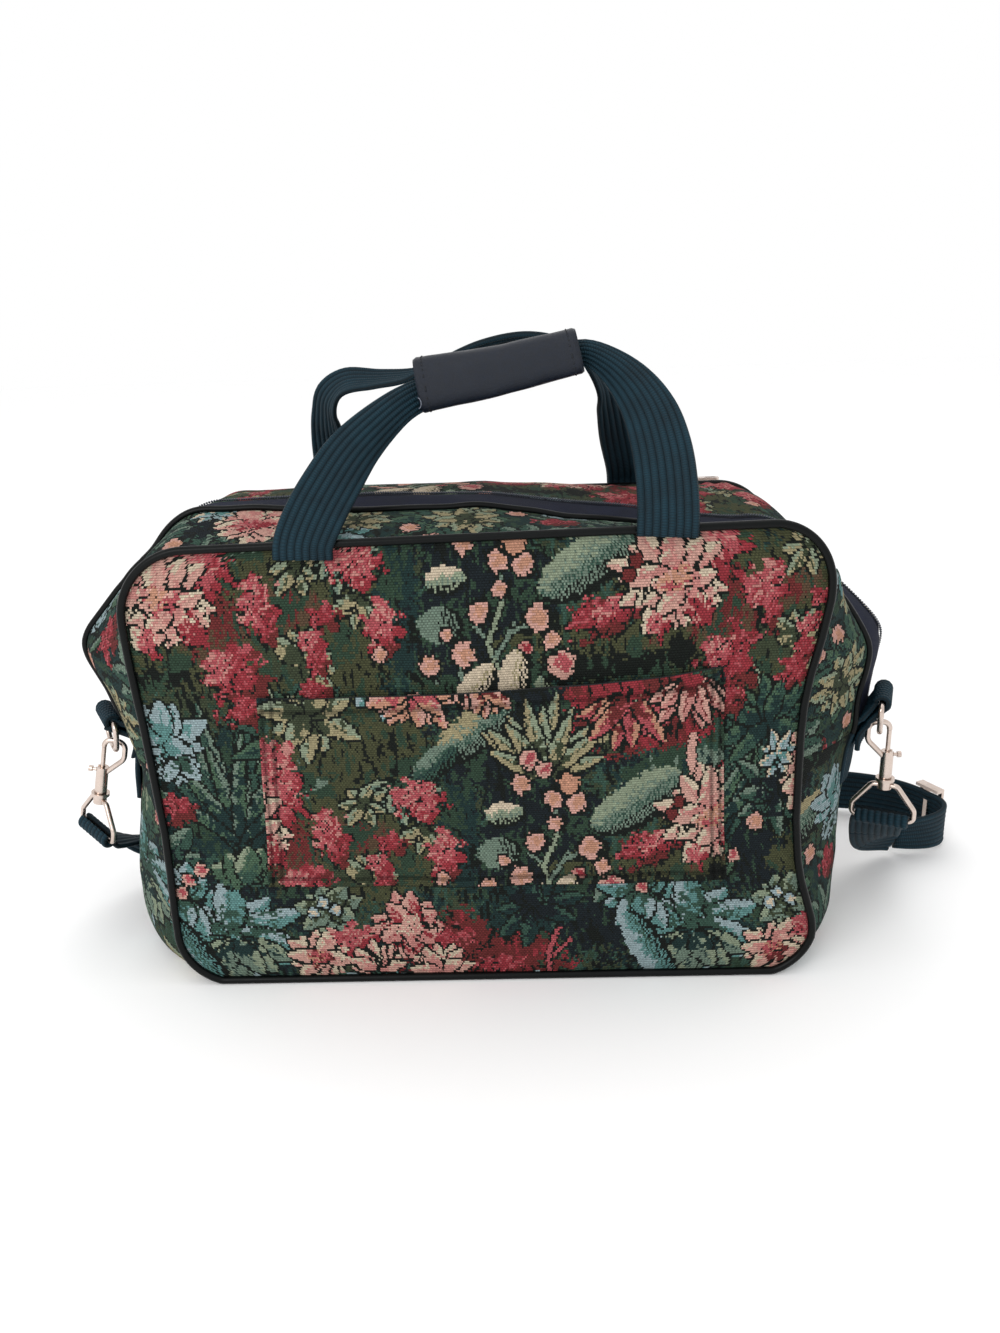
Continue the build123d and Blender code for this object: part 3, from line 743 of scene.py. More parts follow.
def unit(vectors: np.ndarray) -> np.ndarray:
    """Scale each vector to length one."""
    return vectors / np.maximum(np.linalg.norm(vectors, axis=-1, keepdims=True), 1e-12)


def distances(points: np.ndarray) -> np.ndarray:
    """Distance of each point of a route from its start."""
    return np.concatenate([[0], np.cumsum(np.linalg.norm(np.diff(points, axis=0), axis=1))])


def dress(piece: bpy.types.Object, node: str = "", body: str = "bag") -> None:
    """Hide the node that a piece replaces, if any, and hang the piece on the body that it rides on.

    Args:
        piece: the piece.
        node: the node that it replaces, if any.
        body: the body that it rides on.
    """
    if node:
        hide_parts(node)
    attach(piece, body)


def primitive(add: Callable, **sizes: float) -> tuple[np.ndarray, list]:
    """Vertices and faces of one of the ready-made shapes."""
    bpy.ops.object.select_all(action="DESELECT")
    add(**sizes)
    seed = bpy.context.object
    shape = np.array([v.co for v in seed.data.vertices])
    faces = [tuple(p.vertices) for p in seed.data.polygons]
    bpy.data.objects.remove(seed)
    return shape, faces


def join_copies(name: str, copies: list, faces: list, material: bpy.types.Material) -> bpy.types.Object:
    """Make one piece of many placed copies of a shape."""
    size = len(copies[0])
    everyone = [tuple(i + k * size for i in face) for k in range(len(copies)) for face in faces]
    return link_mesh(name, np.vstack(copies), everyone, [material])


def smooth_route(points: list | np.ndarray, spacing: float) -> np.ndarray:
    """A smooth curve through some rows of values, whose first three columns are a place.

    Args:
        points: rows, the place first.
        spacing: distance between the points that come back, in metres.

    Returns:
        Rows with the same columns, evenly spaced along the curve.
    """
    rows = np.asarray(points, float)
    knots = np.concatenate([[0], np.cumsum(np.sqrt(np.linalg.norm(np.diff(rows[:, :3], axis=0), axis=1)))])
    slopes = np.gradient(rows, knots, axis=0)
    fine = []
    for i in range(len(rows) - 1):
        t = np.linspace(0, 1, 40, endpoint=False)[:, None]
        gap = knots[i + 1] - knots[i]
        fine.append(
            (2 * t**3 - 3 * t**2 + 1) * rows[i] + (t**3 - 2 * t**2 + t) * gap * slopes[i]
            + (3 * t**2 - 2 * t**3) * rows[i + 1] + (t**3 - t**2) * gap * slopes[i + 1]
        )
    dense = np.vstack(fine + [rows[-1:]])
    run = distances(dense[:, :3])
    even = np.linspace(0, run[-1], max(4, int(run[-1] / spacing)) + 1)
    return np.column_stack([np.interp(even, run, dense[:, k]) for k in range(rows.shape[1])])


@dataclass
class Sweep:
    """A section carried along a route, closed at both ends unless the route is a loop."""

    name: str
    route: np.ndarray
    sections: np.ndarray
    materials: list
    loop: bool = False
    around: np.ndarray | None = None

    def make(self) -> bpy.types.Object:
        """Build the mesh, with a UV map of metres along and round the section.

        Returns:
            The object.
        """
        rings, size = self.sections.shape[:2]
        count = rings if self.loop else rings - 1
        ring, spoke = np.meshgrid(np.arange(count), np.arange(size), indexing="ij")
        after, beside = (ring + 1) % rings, (spoke + 1) % size
        faces = np.stack(
            [ring * size + spoke, after * size + spoke, after * size + beside, ring * size + beside], axis=-1
        ).reshape(-1, 4).tolist()
        run = distances(self.route[:, :3])
        if self.loop:
            run = np.append(run, run[-1] + np.linalg.norm(self.route[0, :3] - self.route[-1, :3]))
        middle = self.sections[rings // 2]
        around = distances(np.vstack([middle, middle[:1]])) if self.around is None else self.around
        u, v = run[ring], around[spoke]
        u1, v1 = run[ring + 1], around[spoke + 1]
        uv = np.stack([u, v, u1, v, u1, v1, u, v1], axis=-1).reshape(-1, 2)
        if not self.loop:
            last = (rings - 1) * size
            faces.append(list(range(size)))
            faces.append(list(range(last + size - 1, last - 1, -1)))
            uv = np.vstack([uv, np.zeros((2 * size, 2))])
        piece = link_mesh(self.name, self.sections.reshape(-1, 3), faces, self.materials)
        piece.data.uv_layers.new(name="UVMap").data.foreach_set("uv", uv.ravel())
        outward(piece)
        return piece


def outward(piece: bpy.types.Object) -> None:
    """Turn a closed piece's faces outward if they point in."""
    mesh = piece.data
    points = np.zeros(len(mesh.vertices) * 3)
    mesh.vertices.foreach_get("co", points)
    points = points.reshape(-1, 3)
    centres, normals, areas = (np.zeros(len(mesh.polygons) * n) for n in (3, 3, 1))
    mesh.polygons.foreach_get("center", centres)
    mesh.polygons.foreach_get("normal", normals)
    mesh.polygons.foreach_get("area", areas)
    centres, normals = centres.reshape(-1, 3) - points.mean(axis=0), normals.reshape(-1, 3)
    if ((centres * normals).sum(axis=1) * areas).sum() < 0:
        mesh.flip_normals()


def band(
    name: str, route: np.ndarray, across: np.ndarray, half: np.ndarray | float, thick: float,
    curl: np.ndarray | float = 0.0, ribs: int = 8, rib_height: float = 0.0009,
) -> bpy.types.Object:
    """A strip of ribbed webbing.

    Args:
        name: the piece's name.
        route: middle line, evenly spaced.
        across: direction of the width at each point.
        half: half width at each point.
        thick: thickness between the ribs.
        curl: half angle, in radians, that the width bends through, at each point.
        ribs: ribs across the width.
        rib_height: how far a rib stands out.

    Returns:
        The object.
    """
    along = unit(np.gradient(route[:, :3], axis=0))
    across = unit(across - (across * along).sum(axis=1, keepdims=True) * along)
    face = np.cross(along, across)
    half = np.broadcast_to(half, len(route))[:, None]
    curl = np.maximum(np.broadcast_to(curl, len(route)), 1e-3)[:, None]
    place = np.linspace(-1, 1, ribs * 4 + 1)
    crown = rib_height * np.abs(np.sin(place * ribs * math.pi / 2)) ** 0.7
    rim = np.clip((1 - np.abs(place)) / 0.04, 0.25, 1)
    side = half / curl * np.sin(place * curl)
    rise = half / curl * (1 - np.cos(place * curl))
    middle = route[:, None, :3] + side[..., None] * across[:, None] + rise[..., None] * face[:, None]
    lift = face[:, None] * np.cos(place * curl)[..., None] - across[:, None] * np.sin(place * curl)[..., None]
    offset = ((thick / 2 + crown) * rim)[None, :, None]
    sections = np.concatenate([middle + lift * offset, (middle - lift * offset)[:, ::-1]], axis=1)
    rows = (place + 1) / 2 * ribs * WEBBING_RIB
    around = np.concatenate([rows, rows[::-1], [0]])
    return Sweep(name, route, sections, [Finishes.webbing], around=around).make()


def circles(
    route: np.ndarray, first: np.ndarray, second: np.ndarray, radius: float, sides: int,
) -> np.ndarray:
    """Circles about the points of a route, each in the plane of its two directions."""
    turn = np.linspace(0, 2 * math.pi, sides, endpoint=False)
    circle = np.cos(turn)[None, :, None] * first[:, None] + np.sin(turn)[None, :, None] * second[:, None]
    return route[:, None] + radius * circle


def open_cord(route: np.ndarray, radius: float, sides: int) -> np.ndarray:
    """Round sections along an open route that stays clear of the Y direction."""
    along = unit(np.gradient(route, axis=0))
    first = unit(np.cross(along, np.broadcast_to(np.array([0.0, 1.0, 0.0]), along.shape)))
    return circles(route, first, np.cross(along, first), radius, sides)


def closed_cord(route: np.ndarray, radius: float, sides: int) -> np.ndarray:
    """Round sections along a closed route in an upright plane."""
    along = unit(np.roll(route, -1, axis=0) - np.roll(route, 1, axis=0))
    first = np.broadcast_to(np.array([0.0, 1.0, 0.0]), along.shape)
    return circles(route, first, unit(np.cross(along, first)), radius, sides)


# ---- the body of the bag ------------------------------------------------------------------------------
@dataclass
class BagForm:
    """The slumped shape of the bag: the panel's outline, its bulging gusset and its sag."""

    corner: float = 0.042
    corner_low: float = 0.040
    # How far the gusset stands out at mid depth, at some runs round the outline from the middle of the base.
    runs: tuple = (0.0, 0.18, 0.23, 0.30, 0.37, 0.44, 0.50, 0.55, 0.73)
    left_bulge: tuple = (0, 0, 0.055, 0.045, 0.035, 0.065, 0.0, 0.005, 0.015)
    right_bulge: tuple = (0, 0, 0.03, 0.045, 0.06, 0.065, 0.01, 0.0, 0.015)
    sag_depths: tuple = (-0.107, -0.043, 0.06, 0.107)
    sag_rise: tuple = (0.006, -0.001, 0.0035, 0.0)
    sag_slope: tuple = (0.020, -0.062, -0.030, 0.0)
    pinch_heights: tuple = (0, 0.03, 0.045, 0.06, 0.075, 0.09, 0.12, 0.18, 0.2, 0.22, 0.243, 0.268, 0.316)
    right_pinch: tuple = (
        0.002, 0.001, 0.003, 0.0075, 0.012, 0.015, 0.018, 0.0185, 0.0175, 0.0145, 0.009, 0.0045, 0.003,
    )
    left_pinch: tuple = (0, 0, 0, 0, 0.0005, 0.001, 0.0015, -0.001, -0.002, -0.0035, -0.005, -0.006, -0.003)
    belly: float = 0.006

    def __post_init__(self) -> None:
        """Measure the panel and tabulate its outline from the middle of the base, to the right."""
        low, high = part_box("front_panel")
        _, gusset_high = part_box("base_gusset")
        self.half, self.height, self.depth = high.x, high.z, -low.y
        self.seam = gusset_high.z
        foot, top = self.half - self.corner_low, self.half - self.corner
        turn = np.linspace(0, math.pi / 2, 60)
        right = [np.column_stack([np.linspace(0, foot, 80), np.zeros(80)])]
        rise = self.corner_low * (1 - np.cos(turn))
        right.append(np.column_stack([foot + self.corner_low * np.sin(turn), rise]))
        rise = np.linspace(self.corner_low, self.height - self.corner, 80)
        right.append(np.column_stack([np.full(80, self.half), rise]))
        rise = self.height - self.corner * (1 - np.sin(turn))
        right.append(np.column_stack([top + self.corner * np.cos(turn), rise]))
        right.append(np.column_stack([np.linspace(top, 0, 80), np.full(80, self.height)]))
        right = np.vstack(right)
        left = right[::-1][1:] * np.array([-1, 1])
        line = np.vstack([right, left])
        line = line[np.concatenate([[True], np.linalg.norm(np.diff(line, axis=0), axis=1) > 1e-9])]
        self.run = distances(line)
        self.line = line
        tangent = unit(np.gradient(line, self.run, axis=0))
        self.normal = np.column_stack([tangent[:, 1], -tangent[:, 0]])
        self.round = self.run[-1]
        side = (line[:, 0] > self.half * STRAIGHT_PART) & (line[:, 1] > 0.1)
        self.seam_run = float(np.interp(self.seam, line[side, 1], self.run[side]))
        self.grain = Grain(23)
        fine = np.linspace(0, self.round / 2, 400)
        window = np.hanning(21) / np.hanning(21).sum()
        tables = [np.interp(fine, self.runs, t) for t in (self.left_bulge, self.right_bulge)]
        self.bulges = [np.convolve(np.pad(t, 10, mode="edge"), window, "valid") for t in tables]
        self.fine_runs = fine

    def edge(self, s: np.ndarray) -> tuple[np.ndarray, np.ndarray, np.ndarray, np.ndarray]:
        """Place and outward direction of the outline at some distances round it."""
        s = np.asarray(s) % self.round
        values = [self.line[:, 0], self.line[:, 1], self.normal[:, 0], self.normal[:, 1]]
        return tuple(np.interp(s, self.run, v) for v in values)

    def sag(self, x: np.ndarray, y: np.ndarray, z: np.ndarray) -> np.ndarray:
        """Move points of the upright bag to where its slack cloth lets them go.

        Args:
            x: first coordinates.
            y: depths.
            z: heights.

        Returns:
            Points, one row each in the last axis.
        """
        share = (np.clip(z, 0, None) / self.height) ** 2
        rise = np.interp(y, self.sag_depths, self.sag_rise)
        rise = rise + np.interp(y, self.sag_depths, self.sag_slope) * x
        fore = np.clip((self.depth - y) / (2 * self.depth), 0, 1) ** 2
        right = np.interp(z, self.pinch_heights, self.right_pinch) * np.clip(x / self.half, 0, 1.2) ** 3
        left = np.interp(z, self.pinch_heights, self.left_pinch) * np.clip(-x / self.half, 0, 1.2) ** 3
        return np.stack([x - (right - left) * fore, y, z + share * rise], axis=-1)

    def wall(self, s: np.ndarray, y: np.ndarray, stand: float = 0.0) -> np.ndarray:
        """Points of the gusset.

        Args:
            s: distance round the outline.
            y: depth.
            stand: how far off the cloth, outward.

        Returns:
            Points in the last axis.
        """
        x, z, nx, nz = self.edge(s)
        profile = 1 - np.clip(np.abs(y) / self.depth, 0, 1) ** 2.2
        around = np.asarray(s) % self.round
        left = np.interp(self.round - around, self.fine_runs, self.bulges[0])
        right = np.interp(around, self.fine_runs, self.bulges[1])
        out = profile * np.where(x < 0, left, right)
        soft = self.grain.at(s, y, 0.045) - 0.5 + 0.5 * (self.grain.at(s, y + 3, 0.021) - 0.5)
        near = np.exp(-np.abs(np.abs(y) - self.depth) / 0.012)
        pucker = near * np.sin(s * 2 * math.pi / 0.0135 + 6 * self.grain.at(s, y * 0, 0.05))
        free = np.clip((z - 0.012) / 0.03, 0, 1)
        calm = np.where(z > self.height - 0.03, 0.4, 1.0)
        out = out + free * (0.006 * calm * soft * np.minimum(1, profile * 3) + 0.0008 * pucker) + stand
        return self.sag(x + nx * out, y, np.maximum(z + nz * out, 0.0))

    def face(self, x: np.ndarray, z: np.ndarray, side: int, stand: float = 0.0) -> np.ndarray:
        """Points of the front or back panel.

        Args:
            x: across the panel.
            z: up the panel.
            side: -1 for the front, 1 for the back.
            stand: how far off the cloth, outward.

        Returns:
            Points in the last axis.
        """
        u, v = x / self.half, (z - self.height / 2) / (self.height / 2)
        crown = np.clip(1 - np.abs(u) ** 3.5, 0, 1) * np.clip(1 - np.abs(v) ** 3.5, 0, 1)
        soft = self.grain.at(x + side, z, 0.06) - 0.5 + 0.45 * (self.grain.at(x, z + side, 0.024) - 0.5)
        gap = np.minimum(self.half - np.abs(x), np.minimum(z, self.height - z))
        near = np.exp(-np.clip(gap, 0, None) / 0.010)
        pucker = near * np.sin((x + z) * 2 * math.pi / 0.0125 + 5 * self.grain.at(x, z, 0.05))
        out = self.belly * crown + 0.004 * soft * np.minimum(1, 4 * crown) + 0.0005 * pucker + stand
        return self.sag(x, side * (self.depth + out), z)


@dataclass
class ClothPiece:
    """A piece of tapestry: a fine grid of stitches outside, a coarser lining inside, closed at its rim."""

    name: str
    outer: np.ndarray
    pattern: tuple[np.ndarray, np.ndarray]
    rows_first: bool
    thick: float = 0.0026
    coarse: int = 4
    # Painted shade: one factor for each stitch, multiplied into its colour.
    shade: np.ndarray | None = None

    def make(self, tapestry: Tapestry) -> bpy.types.Object:
        """Weave the colours and build the closed mesh.

        Args:
            tapestry: the pattern to weave.

        Returns:
            The object, with its colours in a corner attribute and a UV map in metres.
        """
        outer, step = self.outer, self.coarse
        nu, nv = outer.shape[0] - 1, outer.shape[1] - 1
        along, across = np.gradient(outer, axis=0), np.gradient(outer, axis=1)
        normal = unit(np.cross(along, across))
        inner = outer[::step, ::step] - self.thick * normal[::step, ::step]
        inner[..., 2] = np.maximum(inner[..., 2], FLOOR_CLEAR)
        number = np.arange((nu + 1) * (nv + 1)).reshape(nu + 1, nv + 1)
        below = number.size + np.arange(inner.shape[0] * inner.shape[1]).reshape(inner.shape[:2])
        top = np.stack([number[:-1, :-1], number[1:, :-1], number[1:, 1:], number[:-1, 1:]], axis=-1)
        under = np.stack([below[:-1, :-1], below[:-1, 1:], below[1:, 1:], below[1:, :-1]], axis=-1)
        top, under = top.reshape(-1, 4), under.reshape(-1, 4)
        rim = []
        borders = (
            (number[:, 0], below[:, 0]), (number[-1, :], below[-1, :]),
            (number[::-1, -1], below[::-1, -1]), (number[0, ::-1], below[0, ::-1]),
        )
        for upper, lower in borders:
            for k in range(len(lower) - 1):
                fine = upper[k * step:(k + 1) * step + 1]
                near, far = lower[k], lower[k + 1]
                half = step // 2
                rim += [(fine[i + 1], fine[i], near) for i in range(half)]
                rim.append((fine[half], near, far))
                rim += [(fine[i + 1], fine[i], far) for i in range(half, step)]
        faces = top.tolist() + under.tolist() + [tuple(int(i) for i in f) for f in rim]
        points = np.vstack([outer.reshape(-1, 3), inner.reshape(-1, 3)])
        piece = link_mesh(self.name, points, faces, [Finishes.tapestry, Finishes.lining])
        which = np.zeros(len(faces), int)
        which[len(top):] = 1
        piece.data.polygons.foreach_set("material_index", which)
        x, z = self.pattern
        iu, iv = np.meshgrid(np.arange(nu), np.arange(nv), indexing="ij")
        rows, picks = (iv, iu) if self.rows_first else (iu, iv)
        colour = tapestry.weave(x.ravel(), z.ravel(), rows.ravel(), picks.ravel())
        # Multiply in the painted shade, if any.
        if self.shade is not None:
            colour = colour * self.shade.reshape(-1, 1)
        corners = np.ones((len(piece.data.loops), 4), np.float32) * 0.1
        corners[:len(top) * 4, :3] = np.repeat(colour, 4, axis=0)
        layer = piece.data.color_attributes.new("yarn", "BYTE_COLOR", "CORNER")
        layer.data.foreach_set("color_srgb", corners.ravel())
        self.lay_uv(piece, len(top) * 4, iu, iv)
        LOG.info("%s: %d faces", piece.name, len(piece.data.polygons))
        return piece

    def lay_uv(self, piece: bpy.types.Object, count: int, iu: np.ndarray, iv: np.ndarray) -> None:
        """Give each stitch a UV cell of one pick by one row."""
        uv = np.zeros((len(piece.data.loops), 2))
        corner_u = np.stack([iu, iu + 1, iu + 1, iu], axis=-1).reshape(-1)
        corner_v = np.stack([iv, iv, iv + 1, iv + 1], axis=-1).reshape(-1)
        if self.rows_first:
            uv[:count] = np.column_stack([corner_u * PICK, corner_v * ROW])
        else:
            uv[:count] = np.column_stack([corner_v * PICK, corner_u * ROW])
        piece.data.uv_layers.new(name="UVMap").data.foreach_set("uv", uv.ravel())


def whole_steps(length: float, cell: float, step: int = 4) -> int:
    """How many cells fit a length, as a multiple of the lining's step."""
    return max(step, int(round(length / cell / step)) * step)


@dataclass
class Body:
    """The bag's cloth body: two panels, the base gusset and the zipped top; the patch pocket is made apart, by
    Pocket.
    """

    form: BagForm
    tapestry: Tapestry

    def panel(self, name: str, side: int, shift: tuple[float, float]) -> bpy.types.Object:
        """Weave the front or back panel."""
        form = self.form
        nu, nv = whole_steps(2 * form.half, PICK), whole_steps(form.height, ROW)
        z = np.linspace(0, form.height, nv + 1)
        low = np.clip(1 - z / form.corner_low, 0, 1)
        high = np.clip(1 - (form.height - z) / form.corner, 0, 1)
        width = form.half - form.corner_low * (1 - np.sqrt(1 - low**2))
        width = width - form.corner * (1 - np.sqrt(1 - high**2))
        t = np.linspace(-1, 1, nu + 1)
        x = t[:, None] * width[None, :] * -side
        outer = form.face(x, np.broadcast_to(z, x.shape), side)
        cx = (x[:-1, :-1] + x[1:, 1:]) / 2 / MM * -side
        cz = np.broadcast_to((z[:-1] + z[1:]) / 2 / MM, cx.shape)
        piece = ClothPiece(name, outer, (cx + shift[0], cz + shift[1]), True).make(self.tapestry)
        dress(piece, name.replace("_cloth", ""))
        return piece

    def gusset(
        self, name: str, s: tuple[float, float], y: tuple[float, float], node: str, top: bool,
    ) -> bpy.types.Object:
        """Weave a strip of the gusset between two distances round the outline and two depths."""
        form = self.form
        cell_u, cell_v = (PICK, ROW) if top else (ROW, PICK)
        nu, nv = whole_steps((s[1] - s[0]) * 1.03, cell_u), whole_steps((y[1] - y[0]) * 1.06, cell_v)
        run, depth = np.linspace(s[0], s[1], nu + 1), np.linspace(y[1], y[0], nv + 1)
        grid_s, grid_y = np.meshgrid(run, depth, indexing="ij")
        outer = form.wall(grid_s, grid_y)
        mid_s, mid_y = (grid_s[:-1, :-1] + grid_s[1:, 1:]) / 2, (grid_y[:-1, :-1] + grid_y[1:, 1:]) / 2
        if top:
            pattern = ((form.round / 2 - mid_s) / MM + 60, mid_y / MM + 215)
        else:
            edge_x, edge_z, _, _ = form.edge(mid_s)
            right = edge_x > 0
            across = np.where(right, mid_y / MM + 174, 77 - mid_y / MM)
            pattern = (across, np.abs(mid_s) / MM - np.where(right, 135, 240))
        piece = ClothPiece(name, outer, pattern, top).make(self.tapestry)
        dress(piece, node)
        return piece

    def build(self) -> None:
        """Make every cloth piece of the body."""
        form = self.form
        seam, whole = form.seam_run, form.round
        tape_low, tape_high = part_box("zip_tape")
        _, teeth_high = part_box("zip_teeth")
        self.panel("front_panel_cloth", -1, (0, 0))
        self.panel("back_panel_cloth", 1, (60, 0))
        self.gusset("base_gusset_cloth", (-seam, seam), (-form.depth, form.depth), "base_gusset", False)
        edge = (seam, whole - seam)
        self.gusset("top_front_cloth", edge, (-form.depth, tape_low.y), "top_gusset_front", True)
        self.gusset("top_back_cloth", edge, (teeth_high.y, form.depth), "top_gusset_back", True)


@dataclass
class Pocket:
    """The patch pocket on the front: a sheet stitched at its sides and foot, slack at its mouth."""

    form: BagForm
    tapestry: Tapestry
    foot: tuple = ((-0.155, 0.0795), (0.166, 0.0785))
    mouth: tuple = ((-0.147, 0.2185), (0.160, 0.2285))
    wide: float = 0.32
    tall: float = 0.148
    mouth_sag: float = 0.0035
    slack: float = 0.0045
    thick: float = 0.002
    seams: tuple = (0.003, 0.0095)
    hem: float = 0.0095
    foot_seam: float = 0.006
    groove: float = 0.0011

    def build(self) -> bpy.types.Object:
        """Weave the pocket over the panel.

        Returns:
            The pocket's cloth.
        """
        nu, nv = whole_steps(self.wide, PICK), whole_steps(self.tall, ROW)
        t, h = np.meshgrid(np.linspace(0, 1, nu + 1), np.linspace(0, 1, nv + 1), indexing="ij")
        corners = np.array(self.foot + self.mouth)
        x = (1 - h) * (corners[0, 0] + t * (corners[1, 0] - corners[0, 0]))
        x = x + h * (corners[2, 0] + t * (corners[3, 0] - corners[2, 0]))
        z = (1 - h) * (corners[0, 1] + t * (corners[1, 1] - corners[0, 1]))
        mouth = corners[2, 1] + t * (corners[3, 1] - corners[2, 1]) - self.mouth_sag * np.sin(math.pi * t)
        z = z + h * mouth
        wide, tall = corners[1, 0] - corners[0, 0], corners[2, 1] - corners[0, 1]
        side_gap, foot_gap = np.minimum(t, 1 - t) * wide, h * tall
        mouth_gap = (1 - h) * tall
        free = np.clip(side_gap / 0.04, 0, 1) * np.clip(foot_gap / 0.05, 0, 1)
        stand = 0.0022 + self.slack * free * h**2
        grain = Grain(31)
        stand = stand + 0.0016 * (grain.at(x, z, 0.03) - 0.5) * np.clip(side_gap / 0.015, 0.2, 1)
        rows = [(side_gap, seam) for seam in self.seams] + [(mouth_gap, self.hem), (foot_gap, self.foot_seam)]
        groove = sum(np.exp(-(((gap - seam) / self.groove) ** 2)) for gap, seam in rows)
        stitch = 0.6 + 0.4 * np.sin((x + z) * 2 * math.pi / 0.004)
        outer = self.form.face(x, z, -1, stand - 0.0009 * groove * stitch)
        cx, cz = (x[:-1, :-1] + x[1:, 1:]) / 2 / MM, (z[:-1, :-1] + z[1:, 1:]) / 2 / MM
        # Painted shade: the pocket's colour darkens along its side seams, hem and foot seam, where shade falls
        # in the grooves.
        dark = (groove[:-1, :-1] + groove[1:, 1:]) / 2
        piece = ClothPiece(
            "front_pocket_cloth", outer, (cx - 32, cz + 158), True, self.thick,
            shade=1 - 0.45 * np.clip(dark, 0, 1),
        ).make(self.tapestry)
        dress(piece, "front_pocket")
        return piece


@dataclass
class Trim:
    """Corded piping, the zip and its chain."""

    form: BagForm
    radius: float = 0.0027
    inset: float = 0.0008
    proud: float = 0.0018
    zip_radius: float = 0.0024
    tooth: tuple = (0.0013, 0.0034, 0.0016)
    tooth_pitch: float = 0.0017
    tape_samples: int = 13
    tape_lift: float = 0.0016
    tape_thick: float = 0.0022

    def piping(self) -> None:
        """Run the corded edge round each panel and beside the zip."""
        form = self.form
        s = np.linspace(0, form.round, 640, endpoint=False)
        for name, side in (("front_piping", -1), ("back_piping", 1)):
            x, z, nx, nz = form.edge(s)
            depth = np.full_like(x, side * (form.depth + self.proud))
            base = form.sag(x - nx * self.inset, depth, z - nz * self.inset)
            base[:, 2] = np.maximum(base[:, 2], self.radius)
            sections = closed_cord(base, self.radius, 14)
            piece = Sweep(name + "_cord", base, sections, [Finishes.piping], loop=True).make()
            dress(piece, name)
        low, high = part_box("zip_piping")
        depth = (low.y + high.y) / 2
        s = np.linspace(form.seam_run, form.round - form.seam_run, 420)
        base = form.wall(s, np.full_like(s, depth), 0.0012)
        sections = open_cord(base, self.zip_radius, 12)
        dress(Sweep("zip_piping_cord", base, sections, [Finishes.piping]).make(), "zip_piping")

    def zip(self) -> None:
        """Lay the tape and the two rows of the chain."""
        form = self.form
        low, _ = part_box("zip_tape")
        teeth_low, teeth_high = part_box("zip_teeth")
        s = np.linspace(form.seam_run, form.round - form.seam_run, 420)
        depth = np.linspace(low.y, teeth_high.y, self.tape_samples)
        grid_s, grid_y = np.meshgrid(s, depth, indexing="ij")
        lift = self.tape_lift * np.clip((teeth_low.y - grid_y) / 0.004, 0, 1)
        _, _, out_x, out_z = form.edge(grid_s)
        out = np.stack([out_x, 0 * out_x, out_z], axis=-1)
        top = form.wall(grid_s, grid_y) + lift[..., None] * out
        under = top - self.tape_thick * out
        sections = np.concatenate([top, under[:, ::-1]], axis=1)
        tape = Sweep("zip_tape_cloth", top[:, self.tape_samples // 2], sections, [Finishes.zip_tape]).make()
        dress(tape, "zip_tape")
        self.chain((teeth_low.y + teeth_high.y) / 2)

    def chain(self, middle: float) -> None:
        """Copy one coil of the chain along both sides of the zip's middle."""
        form = self.form
        shape, faces = primitive(bpy.ops.mesh.primitive_uv_sphere_add, segments=6, ring_count=4, radius=0.5)
        shape = shape * np.array(self.tooth)
        run = np.arange(form.seam_run + 0.004, form.round - form.seam_run - 0.004, self.tooth_pitch)
        copies = []
        for side in (-1, 1):
            s = run + (0.25 + 0.25 * side) * self.tooth_pitch
            base = form.wall(s, np.full_like(s, middle + side * 0.0012), 0.0016)
            _, _, nx, nz = form.edge(s)
            out = np.column_stack([nx, 0 * nx, nz])
            along = np.column_stack([-nz, 0 * nx, nx])
            for place, up, ahead in zip(base, out, along):
                place = place + shape[:, :1] * ahead + shape[:, 1:2] * np.array([0, 1, 0])
                copies.append(place + shape[:, 2:] * up)
        dress(join_copies("zip_chain", copies, faces, Finishes.zip_teeth), "zip_teeth")

    def build(self) -> None:
        """Make all the trim."""
        self.piping()
        self.zip()


